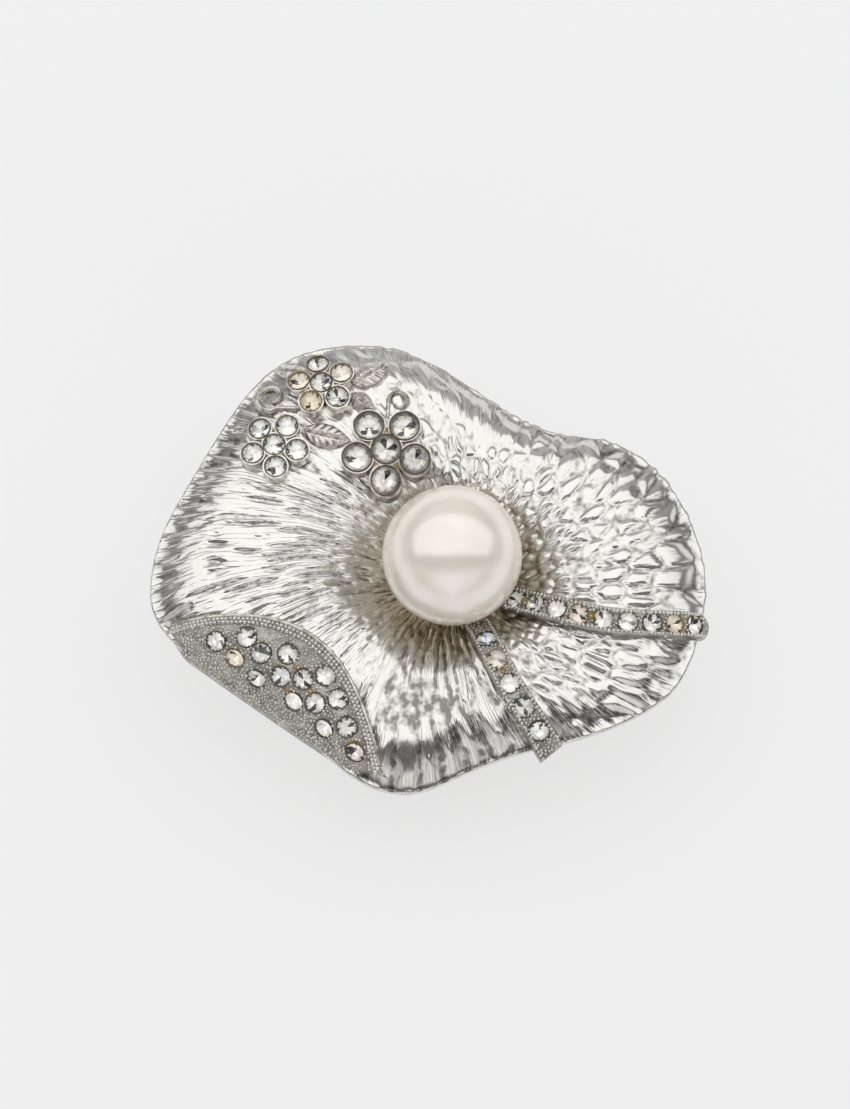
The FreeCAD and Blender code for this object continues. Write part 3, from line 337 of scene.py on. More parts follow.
def bright_plate():
    """Bright rhodium plate over a polished zinc casting: near white, with painted shade in the hollows,
    speckled like grime.
    """
    material, add, shader = shader_tree("Bright rhodium plate")
    place = add("ShaderNodeTexCoord").outputs["Object"]
    hollow, near, pebble, rays = (add("ShaderNodeAttribute",
        attribute_name=name).outputs for name in ("hollow", "near_hub", "pebble", "ray_place"))
    # specks about 1 mm wide that break up the painted shade in the hollows, patches of wear about 2.5 mm,
    # scratches about 0.7 mm
    speckle, patches, fine = (add("ShaderNodeTexNoise",
        {"Vector": place, "Scale": scale, "Detail": detail}) for scale,
        detail in ((1100.0, 2.0), (420.0, 3.0), (1500.0, 3.0)))
    # painted shade: darker where the hollow mask is high, broken into specks by noise
    speckled_hollow_shade = add("ShaderNodeMath", {0: speckle, 1: hollow["Fac"]}, operation="MULTIPLY")
    plain = add("ShaderNodeValToRGB", {0: speckled_hollow_shade},
        stops=[(0.34, "E1DFDA"), (0.50, "BCBAB5"), (0.66, "84827D")])
    # warm painted shade round the pearl with some yellowed glue, in the hollows near the hub
    warm = add("ShaderNodeValToRGB", {0: speckled_hollow_shade}, stops=[(0.20, "E0D6C3"), (0.42, "B5A17F"),
        (0.66, "6B583A")])
    colour = add("ShaderNodeMix", {0: near["Fac"], 6: plain, 7: warm}, data_type="RGBA")
    finer = add("ShaderNodeMapping", {"Vector": rays["Vector"], "Scale": (2.1, 2.1, 1.7)})
    lines = add("ShaderNodeTexVoronoi", {"Vector": finer, "Scale": 1.0}, feature="DISTANCE_TO_EDGE")
    cut = add("ShaderNodeMapRange", {0: lines.outputs["Distance"], 1: 0.0, 2: 0.16},
        interpolation_type="SMOOTHSTEP")
    both = add("ShaderNodeMath", {0: fine, 1: 0.2, 2: cut}, operation="MULTIPLY_ADD")
    depth = add("ShaderNodeMapRange", {0: pebble["Fac"], 3: 0.45, 4: 0.18})
    plug(shader, {"Base Color": colour.outputs[2], "Metallic": 1.0,
        "Roughness": add("ShaderNodeMapRange", {0: patches, 3: 0.10, 4: 0.26}),
        "Normal": add("ShaderNodeBump", {"Strength": depth, "Distance": 0.06 * MM, "Height": both})})
    return material


def cloudy(name, scale, detail, stops, bump=None, stretch=None, **inputs):
    """A material coloured by one fine cloud, which may be stretched and raise a (strength, height) bump."""
    material, add, shader = shader_tree(name)
    place = add("ShaderNodeTexCoord").outputs["Object"]
    if stretch:
        place = add("ShaderNodeMapping", {"Vector": place, "Scale": stretch})
    cloud = add("ShaderNodeTexNoise", {"Vector": place, "Scale": scale, "Detail": detail})
    plug(shader, {"Base Color": add("ShaderNodeValToRGB", {0: cloud}, stops=stops)})
    plug(shader, {key.replace("_", " "): value for key, value in inputs.items()})
    if bump:
        plug(shader, {"Normal": add("ShaderNodeBump",
            {"Strength": bump[0], "Distance": bump[1] * MM, "Height": cloud})})
    return material


def frosted_plate():
    """Plated casting with bright grains, each speckled at about 0.5 mm."""
    return cloudy("Frosted granulated plate", 1900.0, 4.0,
        [(0.32, "C6C3BC"), (0.50, "DEDBD5"), (0.66, "EEECE7")], bump=(0.22, 0.08), Metallic=1.0,
        Roughness=0.36)


def dull_ground():
    """The matt ground between the grains, clouded at about 1.4 mm."""
    return cloudy("Matt granulated ground", 700.0, 2.0, [(0.35, "8B8880"), (0.65, "B9B6AF")],
        Metallic=1.0, Roughness=0.5)


def satin_plate():
    """Satin plated small castings: soft tumbled shine with faint pits about 0.7 mm wide."""
    return cloudy("Satin plated casting", 1400.0, 3.0,
        [(0.32, "9C978E"), (0.50, "DAD6CF"), (0.70, "F0EDE8")], bump=(0.3, 0.06), Metallic=1.0,
        Roughness=0.32)


def amber_glue():
    """Aged clear stone glue that has yellowed round the settings, clouded at about 1.1 mm."""
    return cloudy("Yellowed stone glue", 900.0, 2.0, [(0.30, "8A6A35"), (0.70, "D2B36F")], Roughness=0.25,
        IOR=1.5, Transmission_Weight=0.35)


def pearl_lacquer():
    """Pearl-essence lacquer over a glass bead: deep soft sheen under a clear coat."""
    return cloudy("Pearl essence lacquer", 260.0, 3.0,
        [(0.35, "F6EAD6"), (0.60, bpy.context.scene.clip_pearl.colour)], bump=(0.08, 0.05),
        Roughness=0.24, IOR=2.2, Specular_IOR_Level=1.0, Specular_Tint=linear("F4F4F6"), Coat_Weight=0.75,
        Coat_Roughness=0.12, Coat_IOR=1.8)


def spring_steel():
    """Bare tempered spring steel: darker than the plated parts, with long drawn lines 0.25 mm apart."""
    return cloudy("Tempered spring steel", 1.0, 2.0, [(0.30, "8E8C88"), (0.70, "B4B1AB")],
        stretch=(150.0, 4200.0, 4200.0), Metallic=1.0, Roughness=0.26)


def nickel_steel():
    """Nickel-plated stamped steel: tumbled, with fine rolling lines along the bar."""
    material, add, shader = shader_tree("Nickel plated steel")
    place = add("ShaderNodeTexCoord").outputs["Object"]
    lines = add("ShaderNodeMapping", {"Vector": place, "Scale": (120.0, 3800.0, 3800.0)})
    rolled = add("ShaderNodeTexNoise", {"Vector": lines, "Scale": 1.0, "Detail": 3.0})
    cloud = add("ShaderNodeTexNoise", {"Vector": place, "Scale": 350.0, "Detail": 3.0})
    plug(shader, {"Base Color": add("ShaderNodeValToRGB", {0: cloud},
        stops=[(0.30, "B7B3AB"), (0.65, "D8D5CE")]), "Metallic": 1.0,
        "Roughness": add("ShaderNodeMapRange", {0: rolled, 3: 0.16, 4: 0.34}),
        "Normal": add("ShaderNodeBump", {"Strength": 0.2, "Distance": 0.02 * MM, "Height": rolled})})
    return material


def lead_crystal():
    """Machine-cut lead crystal: clear, with a high index that throws light back."""
    material, _, shader = shader_tree("Lead crystal")
    plug(shader, {"Base Color": linear("FFFEFC"), "Roughness": 0.0, "IOR": 1.56,
        "Transmission Weight": 1.0})
    return material


def mirror_foil():
    """Silver mirror foil on the back of a stone, its facets painted with reflections: some dark, a very few
    blue glints; it glows a little as painted light; yellowed with age.
    """
    material, add, shader = shader_tree("Silver mirror foil")
    painted_reflection, aged = (add("ShaderNodeAttribute", attribute_name=name).outputs["Fac"] for name in (
        "facet_painted_reflection", "foil_age"))
    # painted reflections: most facets white, some dark, a very few with a blue glint
    colour = add("ShaderNodeValToRGB", {0: painted_reflection},
        stops=[(0.0, "202022"), (0.17, "4C4C4E"), (0.24, "F6F5F1"), (0.998, "FFFEFA"),
        (0.9992, "9FB0F0")])
    yellow = add("ShaderNodeMix", {0: aged, 6: colour, 7: linear("E3CB93")}, data_type="RGBA",
        blend_type="MULTIPLY").outputs[2]
    # painted light: the foil glows a little in its own painted colour
    plug(shader, {"Base Color": yellow, "Emission Color": yellow, "Emission Strength": 0.20,
        "Metallic": 0.4, "Roughness": 0.14})
    return material


def dark_seat():
    """Metal in the seat of a stone, painted dark for the shade in the gap round it, amber where the glue
    has aged.
    """
    material, add, shader = shader_tree("Stone seat in painted shade")
    aged = add("ShaderNodeAttribute", attribute_name="foil_age").outputs["Fac"]
    # painted shade round the stone where the glue is fresh, amber as it ages
    colour = add("ShaderNodeValToRGB", {0: aged},
        stops=[(0.0, "64605A"), (0.25, "94815A"), (1.0, "B08A44")])
    plug(shader, {"Base Color": colour, "Metallic": 0.8, "Roughness": 0.4})
    return material


# ---------------------------------------------------------------- the petal

RING_COUNT = 132          # rings of the top, about 0.2 mm apart
RIM_STEPS = 720           # corners round the rim
RING_STEPS = ((0.06, 90), (0.12, 180), (0.42, 360), (1.01, RIM_STEPS))   # corners by share of reach
BACK_RINGS = 40
RIM_BULGE = 0.10 * MM
OUTLINE_MARGIN = 0.9985   # keeps the casting rays just inside the rim
REACH_LIMITS = (10 * MM, 45 * MM)         # between which the rim is looked for
REACH_HALVINGS = 16
FIRST_RING = 0.02         # share of the reach
HEIGHT_PASSES = 36        # that soften the CAD facets
WALL_LEVELS = (0.25, 0.5, 0.75)           # rings down the rounded rim


def rim_reach(surface, angle):
    """Distance from the hub to the petal's rim along a ray."""
    low, high = REACH_LIMITS
    for _ in range(REACH_HALVINGS):
        middle = (low + high) / 2
        x, y = HUB.x + middle * math.cos(angle), HUB.y + middle * math.sin(angle)
        if height_at(surface, x, y) is None:
            high = middle
        else:
            low = middle
    return low * OUTLINE_MARGIN


def petal_grid():
    """Reach of the rim, and smooth heights of the top and the back on a polar grid."""
    surface = surface_of("petal")
    angles = np.arange(RIM_STEPS) * 2 * math.pi / RIM_STEPS
    reach = np.array([rim_reach(surface, a) for a in angles])
    shares = np.linspace(FIRST_RING, 1.0, RING_COUNT)
    sides = []
    for from_below in (False, True):
        grid = np.full((RING_COUNT, RIM_STEPS), np.nan)
        for row in range(RING_COUNT):
            x = HUB.x + reach * shares[row] * np.cos(angles)
            y = HUB.y + reach * shares[row] * np.sin(angles)
            for k in range(RIM_STEPS):
                height = height_at(surface, x[k], y[k], from_below)
                if height is not None:
                    grid[row, k] = height
        for row in range(RING_COUNT - 2, -1, -1):      # over the bore: the height further out
            grid[row] = np.where(np.isnan(grid[row]), grid[row + 1], grid[row])
        for row in range(1, RING_COUNT):
            grid[row] = np.where(np.isnan(grid[row]), grid[row - 1], grid[row])
        sides.append(smoothed(grid, HEIGHT_PASSES))
    return angles, reach, shares, sides


def steps_at(share):
    """Corners of the ring at that share of the reach."""
    return next(steps for limit, steps in RING_STEPS if share < limit)


def bridge(inner, outer):
    """Faces between two rings of corner numbers; the outer one has as many corners or twice as many."""
    faces, n = [], len(inner)
    for i in range(n):
        j = (i + 1) % n
        if len(outer) == n:
            faces.append((inner[i], outer[i], outer[j], inner[j]))
        else:
            a, b, c = outer[2 * i], outer[2 * i + 1], outer[(2 * i + 2) % len(outer)]
            faces += [(inner[i], a, b), (inner[i], b, inner[j]), (inner[j], b, c)]
    return faces


def petal_mesh():
    """Points, faces and masks of the bare petal: top, rounded rim and back."""
    angles, reach, shares, (top, back) = petal_grid()
    points, faces, masks = [], [], []

    def ring(row, heights, side, bulge=0.0):
        share = shares[row]
        numbers = []
        for k in range(0, RIM_STEPS, RIM_STEPS // steps_at(share)):
            distance = reach[k] * share + bulge
            numbers.append(len(points))
            points.append((HUB.x + distance * math.cos(angles[k]), HUB.y + distance * math.sin(angles[k]),
                heights[row, k]))
            masks.append((side, share, angles[k]))
        return numbers

    rings = [ring(row, top, 1.0) for row in range(RING_COUNT)]
    for level in WALL_LEVELS:
        wall = top * (1 - level) + back * level
        rings.append(ring(RING_COUNT - 1, wall, 0.0, RIM_BULGE * math.sin(math.pi * level)))
    back_rows = np.linspace(RING_COUNT - 1, 0, BACK_RINGS).astype(int)
    back_rings = [ring(row, back, 0.0) for row in back_rows]
    for inner, outer in zip(rings, rings[1:] + back_rings[:1]):
        faces += bridge(inner, outer)
    for outer, inner in zip(back_rings, back_rings[1:]):
        faces += [tuple(reversed(face)) for face in bridge(inner, outer)]
    for numbers, heights, upward in ((rings[0], top, True), (back_rings[-1], back, False)):
        centre = len(points)
        points.append((HUB.x, HUB.y, heights[0].mean()))
        masks.append((float(upward), 0.0, 0.0))
        for i, a in enumerate(numbers):
            b = numbers[(i + 1) % len(numbers)]
            faces.append((centre, a, b) if upward else (centre, b, a))
    return points, faces, np.array(masks)


def bell(angle, middle, half_width):
    """1 in the middle of a sector of the flower, falling smoothly to 0 at its half width."""
    away = np.abs((angle - math.radians(middle) + math.pi) % (2 * math.pi) - math.pi)
    share = np.clip(1 - away / math.radians(half_width), 0, 1)
    return share * share * (3 - 2 * share)


def risen(reach, start, run):
    """0 up to the start, then rising evenly to 1."""
    return np.clip((reach - start) / run, 0, 1)


# name of the pattern, cells per e-fold of reach, edge of the profile, raised (1) or sunk (-1)
PATTERNS = (
    ("Groove", 2.3, (0.08, 0.30), -1.0),
    ("Pebble", 6.0, (0.0, 0.36), 0.85),
    ("Flute", 1.5, (0.0, 0.50), 1.0),
    ("Bar", 2.2, (0.05, 0.28), -1.0),
)


PATTERN_GAP = 40.0        # keeps the patterns' cells unlike each other
WANDER_SCALE = 190.0      # bends about 5 mm long
WANDER = 0.8              # how far they push a cell, in cells
DISORDER = 0.9            # of the cells, 0 to 1
BORDER_POWER = 4.0        # narrows the painted shade along the border between raised cells


def relief_tree():
    """Raises and sinks the petal's top in cells that radiate from the hub."""
    kinds = [("Hub", "Vector"), ("Relief", "Float"), ("Swirl", "Float"), ("Seed", "Float")]
    kinds += [(name + " Count", "Float") for name, _, _, _ in PATTERNS]
    tree, add, given, names = geometry_tree("Hammered relief", kinds + [("Material", "Material")])
    place = add("GeometryNodeInputPosition")
    from_hub = add("ShaderNodeVectorMath", {0: place, 1: given["Hub"]}, operation="SUBTRACT")
    flat = add("ShaderNodeVectorMath", {0: from_hub, 1: (1, 1, 0)}, operation="MULTIPLY")
    distance = add("ShaderNodeVectorMath", {0: flat}, operation="LENGTH").outputs["Value"]
    direction = add("ShaderNodeVectorMath", {0: flat}, operation="NORMALIZE")
    reach = add("GeometryNodeInputNamedAttribute", {"Name": "reach"}, data_type="FLOAT")
    turn = add("ShaderNodeMath", {0: reach, 1: given["Swirl"]}, operation="MULTIPLY")
    swirled = add("ShaderNodeVectorRotate", {"Vector": direction, "Angle": turn}, rotation_type="Z_AXIS")
    fold = add("ShaderNodeMath", {0: distance, 1: math.e}, operation="LOGARITHM")
    wander = add("ShaderNodeTexNoise", {"Vector": place, "Scale": WANDER_SCALE, "Detail": 1.0})
    centred = add("ShaderNodeVectorMath", {0: wander.outputs["Color"], 1: (0.5, 0.5, 0.5)},
        operation="SUBTRACT")
    height, hollow, ray_place = None, None, None
    for number, (name, stretch, (low, high), side) in enumerate(PATTERNS):
        radius = add("ShaderNodeMath", {0: given[name + " Count"], 1: 2 * math.pi}, operation="DIVIDE")
        round_it = add("ShaderNodeVectorMath", {0: swirled, "Scale": radius.outputs[0]},
            operation="SCALE")
        along = add("ShaderNodeMath", {0: fold, 1: stretch, 2: PATTERN_GAP * (number + 1)},
            operation="MULTIPLY_ADD")
        seeded = add("ShaderNodeMath", {0: given["Seed"], 1: along}, operation="ADD")
        upright = add("ShaderNodeCombineXYZ", {"Z": seeded})
        domain = add("ShaderNodeVectorMath", {0: round_it, 1: upright}, operation="ADD")
        wavy = add("ShaderNodeVectorMath", {0: centred, 1: (WANDER, WANDER, WANDER), 2: domain},
            operation="MULTIPLY_ADD")
        cells = add("ShaderNodeTexVoronoi", {"Vector": wavy, "Scale": 1.0, "Randomness": DISORDER},
            feature="DISTANCE_TO_EDGE")
        profile = add("ShaderNodeMapRange", {0: cells.outputs["Distance"], 1: low, 2: high, 3: 0.0,
            4: 1.0}, interpolation_type="SMOOTHERSTEP")
        mask = add("GeometryNodeInputNamedAttribute", {"Name": name.lower()}, data_type="FLOAT")
        raised = add("ShaderNodeMath", {0: profile, 1: side}, operation="MULTIPLY")
        height = add("ShaderNodeMath", {0: raised, 1: mask, 2: height or 0.0}, operation="MULTIPLY_ADD")
        # low parts of the cells, where the material paints shade in the hollows
        low_part = profile
        if side > 0:
            border = add("ShaderNodeMath", {0: 1.0, 1: profile}, operation="SUBTRACT")
            low_part = add("ShaderNodeMath", {0: border, 1: BORDER_POWER}, operation="POWER")
        ray_place = wavy if name == "Groove" else ray_place
        hollow = add("ShaderNodeMath", {0: low_part, 1: mask, 2: hollow or 0.0}, operation="MULTIPLY_ADD")
    lift = add("ShaderNodeMath", {0: height, 1: given["Relief"]}, operation="MULTIPLY")
    rise = add("ShaderNodeVectorMath", {0: add("GeometryNodeInputNormal"), "Scale": lift.outputs[0]},
        operation="SCALE")
    shaped = add("GeometryNodeSetPosition", {"Geometry": given["Geometry"], "Offset": rise})
    marked = add("GeometryNodeStoreNamedAttribute",
        {"Geometry": shaped, "Name": "hollow", "Value": hollow}, data_type="FLOAT", domain="POINT")
    placed = add("GeometryNodeStoreNamedAttribute",
        {"Geometry": marked, "Name": "ray_place", "Value": ray_place}, data_type="FLOAT_VECTOR",
        domain="POINT")
    smooth = add("GeometryNodeSetShadeSmooth", {"Geometry": placed})
    finish_tree(add, smooth, given["Material"])
    return tree, names


def put_attribute(mesh, name, values):
    """Stores one number per point of the mesh."""
    mesh.attributes.new(name, "FLOAT", "POINT").data.foreach_set("value", values.astype(np.float32))


# sectors of the flower: middle and half width in degrees
GROOVES, FLUTES, RIM_BARS, CALM_TOP = (178, 78), (268, 62), (150, 52), (82, 46)
FLUTE_DEPTH = 1.3                       # of the relief of the other patterns
HUB_FADE, RIM_BAR_FADE, CALM_FADE = (0.10, 0.12), (0.80, 0.10), (0.62, 0.2)   # start, length of reach
CALM = 0.45                             # how much of the pebbles is lost near the top rim
# warm painted shade round the pearl with some yellowed glue: strength, where it ends, how far it fades
HUB_SHADE_AND_GLUE, HUB_SHADE_AND_GLUE_END, HUB_SHADE_AND_GLUE_FADE = 0.7, 10.8 * MM, 3.2 * MM


def make_petal(settings):
    """The hammered petal, with each pattern in its own sector, and warm painted shade round the pearl with
    some yellowed glue.
    """
    points, faces, masks = petal_mesh()
    piece = add_piece("petal_hammered", points, faces)
    top, reach, angle = masks.T
    fade = top * risen(reach, *HUB_FADE)
    left = bell(angle, *GROOVES)
    lower = bell(angle, *FLUTES)
    rim = risen(reach, *RIM_BAR_FADE) * bell(angle, *RIM_BARS)
    calm = 1 - CALM * bell(angle, *CALM_TOP) * risen(reach, *CALM_FADE)
    total = np.maximum(left + lower, 1.0)
    left, lower = left / total, lower / total
    pebble = np.clip(1 - left - lower, 0, 1)
    mesh = piece.data
    put_attribute(mesh, "reach", reach)
    put_attribute(mesh, "groove", fade * left * (1 - rim))
    put_attribute(mesh, "pebble", fade * pebble * (1 - rim) * calm)
    put_attribute(mesh, "flute", fade * lower * (1 - rim) * FLUTE_DEPTH)
    put_attribute(mesh, "bar", fade * rim)
    distance = np.array([math.hypot(x - HUB.x, y - HUB.y) for x, y, _ in points])
    # warm painted shade near the pearl, fading out from the hub
    near = np.clip((HUB_SHADE_AND_GLUE_END - distance) / HUB_SHADE_AND_GLUE_FADE, 0, 1)
    put_attribute(mesh, "near_hub", top * HUB_SHADE_AND_GLUE * near)
    tree, names = relief_tree()
    grow(piece, tree, names, {"Hub": HUB[:], "Relief": settings.relief, "Swirl": settings.swirl,
        "Seed": settings.seed, "Groove Count": settings.groove_count,
        "Pebble Count": settings.pebble_count, "Flute Count": settings.flute_count,
        "Bar Count": settings.bar_count, "Material": finish(bright_plate)})
    settle(piece, "bright_plate", "petal")


# ---------------------------------------------------------------- beads and grains

BLOCK = 0.8 * MM          # side of the cube that is scaled to a square bead
BEAD_SIZES, GRAIN_SIZES = (0.86, 1.08), (0.6, 1.25)   # of their nominal diameter
UPWARD = 0.35             # least rise of a face's normal where grains sit
GRAIN_DENSITY = 4.0e7     # most grains per square metre
CLEAR_OF_STONE = 1.10     # of the stone's radius


def bead_tree():
    """Sets beads along a path: round ones, or square ones that follow it."""
    tree, add, given, names = geometry_tree("Milgrain",
        [("Bead", "Float"), ("Pitch", "Float"), ("Square", "Bool"), ("Material", "Material")])
    curve = add("GeometryNodeMeshToCurve", {0: given["Geometry"]})
    even = add("GeometryNodeResampleCurve", {"Curve": curve, "Length": given["Pitch"]}, mode="LENGTH")
    radius = add("ShaderNodeMath", {0: given["Bead"], 1: 0.5}, operation="MULTIPLY")
    ball = add("GeometryNodeMeshIcoSphere", {"Radius": radius, "Subdivisions": 2})
    block = add("GeometryNodeMeshCube", {"Size": (BLOCK, BLOCK, BLOCK)})
    scale = add("ShaderNodeMath", {0: given["Bead"], 1: BLOCK}, operation="DIVIDE")
    sized = add("GeometryNodeTransform", {"Geometry": block, "Scale": scale})
    shape = add("GeometryNodeSwitch", {"Switch": given["Square"], "False": ball.outputs["Mesh"],
        "True": sized}, input_type="GEOMETRY")
    facing = add("FunctionNodeAlignRotationToVector", {"Vector": add("GeometryNodeInputTangent")},
        axis="X")
    size = add("FunctionNodeRandomValue", {2: BEAD_SIZES[0], 3: BEAD_SIZES[1], "Seed": 7},
        data_type="FLOAT")
    beads = add("GeometryNodeInstanceOnPoints", {"Points": even, "Instance": shape, "Rotation": facing,
        "Scale": size.outputs[1]})
    real = add("GeometryNodeRealizeInstances", {0: beads})
    soft = add("GeometryNodeSetShadeSmooth", {"Geometry": real})
    finish_tree(add, soft, given["Material"])
    return tree, names


def grain_tree():
    """Scatters grains over the upward faces of a casting, clear of its stones."""
    tree, add, given, names = geometry_tree("Granulation",
        [("Grain", "Float"), ("Spacing", "Float"), ("Stones", "Object"), ("Clear", "Float"),
        ("Seed", "Int"), ("Material", "Material"), ("Ground", "Material")])
    normal = add("GeometryNodeInputNormal")
    up = add("ShaderNodeSeparateXYZ", {0: normal})
    facing = add("FunctionNodeCompare", {0: up.outputs["Z"], 1: UPWARD}, data_type="FLOAT",
        operation="GREATER_THAN")
    spread = add("GeometryNodeDistributePointsOnFaces",
        {"Mesh": given["Geometry"], "Selection": facing, "Distance Min": given["Spacing"],
        "Density Max": GRAIN_DENSITY, "Seed": given["Seed"]}, distribute_method="POISSON")
    stones = add("GeometryNodeObjectInfo", {"Object": given["Stones"]})
    near = add("GeometryNodeProximity", {"Geometry": stones.outputs["Geometry"]}, target_element="POINTS")
    inside = add("FunctionNodeCompare", {0: near.outputs["Distance"], 1: given["Clear"]},
        data_type="FLOAT", operation="LESS_THAN")
    kept = add("GeometryNodeDeleteGeometry", {"Geometry": spread.outputs["Points"], "Selection": inside})
    radius = add("ShaderNodeMath", {0: given["Grain"], 1: 0.5}, operation="MULTIPLY")
    ball = add("GeometryNodeMeshIcoSphere", {"Radius": radius, "Subdivisions": 1})
    size = add("FunctionNodeRandomValue", {2: GRAIN_SIZES[0], 3: GRAIN_SIZES[1], "Seed": given["Seed"]},
        data_type="FLOAT")
    grains = add("GeometryNodeInstanceOnPoints",
        {"Points": kept, "Instance": ball.outputs["Mesh"], "Scale": size.outputs[1]})
    real = add("GeometryNodeRealizeInstances", {0: grains})
    soft = add("GeometryNodeSetShadeSmooth", {"Geometry": real})
    bright = add("GeometryNodeSetMaterial", {"Geometry": soft, "Material": given["Material"]})
    ground = add("GeometryNodeSetMaterial", {"Geometry": given["Geometry"], "Material": given["Ground"]})
    both = add("GeometryNodeJoinGeometry", {0: ground})
    plug(both, {0: bright})
    add("NodeGroupOutput", {0: both})
    return tree, names


def casting_copy(name, node):
    """A piece with the joined surface of a CAD node."""
    bm = merged(node)
    mesh = bpy.data.meshes.new(name)
    bm.to_mesh(mesh)
    bm.free()
    soften(mesh, 30)
    return show(name, mesh)


def granulate(piece, stones, settings):
    """Grows grains over a casting, leaving its stones clear."""
    centres = [s[0] for s in stones]
    marks = add_piece("stone_marks", centres, [])
    tree, names = grain_tree()
    grow(piece, tree, names, {"Grain": settings.grain, "Spacing": settings.grain_gap, "Stones": marks,
        "Clear": stones[0][2] * CLEAR_OF_STONE, "Seed": settings.seed, "Material": finish(frosted_plate),
        "Ground": finish(dull_ground)})
    bpy.data.objects.remove(marks)


def bead_line(name, points, settings, square=False):
    """A row of beads along a path."""
    mesh = bpy.data.meshes.new(name)
    mesh.from_pydata([tuple(p) for p in points], [(i, i + 1) for i in range(len(points) - 1)], [])
    tree, names = bead_tree()
    return grow(show(name, mesh), tree, names, {"Bead": settings.bead, "Pitch": settings.bead_pitch,
        "Square": square, "Material": finish(frosted_plate)})


def smooth_path(points, parts=12):
    """A Catmull-Rom path through the points."""
    points = np.array(points, float)
    ends = np.vstack([2 * points[0] - points[1], points, 2 * points[-1] - points[-2]])
    path = []
    for i in range(1, len(ends) - 2):
        p0, p1, p2, p3 = ends[i - 1:i + 3]
        for t in np.arange(parts) / parts:
            path.append(0.5 * (2 * p1 + (p2 - p0) * t + (2 * p0 - 5 * p1 + 4 * p2 - p3) * t ** 2 + (
                3 * p1 - p0 - 3 * p2 + p3) * t ** 3))
    path.append(ends[-2])
    return np.array(path)


def lifted(surface, plan, rise):
    """A plan path laid on a surface, cut where the surface ends."""
    laid = []
    for x, y in plan:
        z = height_at(surface, x, y)
        if z is not None:
            laid.append((x, y, z + rise))
    return laid


def join_pieces(name, parts):
    """One piece from several, with their materials."""
    bm, materials = bmesh.new(), []
    for part in parts:
        mesh = part.data.copy()
        shift = []
        for material in mesh.materials:
            if material not in materials:
                materials.append(material)
            shift.append(materials.index(material))
        for polygon in mesh.polygons:
            polygon.material_index = shift[polygon.material_index]
        bm.from_mesh(mesh)
        bpy.data.meshes.remove(mesh)
        bpy.data.objects.remove(part)
    mesh = bpy.data.meshes.new(name)
    bm.to_mesh(mesh)
    bm.free()
    for material in materials:
        mesh.materials.append(material)
    return show(name, mesh)


FEELER_STEP = 0.02 * MM
BAND_BEAD_RISE, TURNOVER_BEAD_RISE = 0.02 * MM, 0.03 * MM


def node_corners(node):
    """Every corner of a CAD node, as rows of x, y and z."""
    return np.array([v.co[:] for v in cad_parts[node].data.vertices])


def make_band(node, settings):
    """A raised band: granulated ground, a bead line along each side."""
    stones = sorted(stones_of(node + "_stones"),
        key=lambda s: math.hypot(s[0][0] - HUB.x, s[0][1] - HUB.y))
    surface = surface_of(node)
    centres = np.array([s[0][:2] for s in stones])
    away = np.linalg.norm(node_corners(node)[:, :2] - np.array(HUB[:2]), axis=1)
    ends = []
    for end, inner, limit in ((centres[0], centres[1], away.min()),
            (centres[-1], centres[-2], away.max())):
        rest = abs(np.linalg.norm(end - HUB[:2]) - limit)
        ends.append(end + (end - inner) / np.linalg.norm(end - inner) * rest)
    path = smooth_path([ends[0], *centres, ends[1]])
    across = np.gradient(path, axis=0)
    across = np.stack([-across[:, 1], across[:, 0]], 1) / np.linalg.norm(across, axis=1)[:, None]
    middle = len(path) // 2
    half = 0.0
    while height_at(surface, *(path[middle] + across[middle] * half)) is not None:
        half += FEELER_STEP
    parts = [casting_copy(node + "_ground", node)]
    granulate(parts[0], stones, settings)
    for number, side in enumerate((-1, 1)):
        plan = path + across * side * (half - settings.edge_inset)
        line = lifted(surface, plan, BAND_BEAD_RISE)
        parts.append(bead_line(f"{node}_beads_{number}", line, settings))
    piece = join_pieces(node + "_beaded", parts)
    settle(piece, "frosted_plate", node)


END_SHARE = 0.16          # of the turned-over edge, over which each end narrows
END_DEPTH = 1.5 * MM      # how far in an end is narrowed
TURNOVER_LINES = (0.20 * MM, 0.62 * MM, 1.05 * MM)   # from the free edge: the wire and two rows of beads
TURNOVER_WIRE = 0.22 * MM
EDGE_SHARES = np.linspace(0.06, 0.94, 90)            # where the free edge is felt for
EDGE_STEP = 0.05 * MM
EDGE_ROOM = 1.5                                      # least depth for a line, of its inset


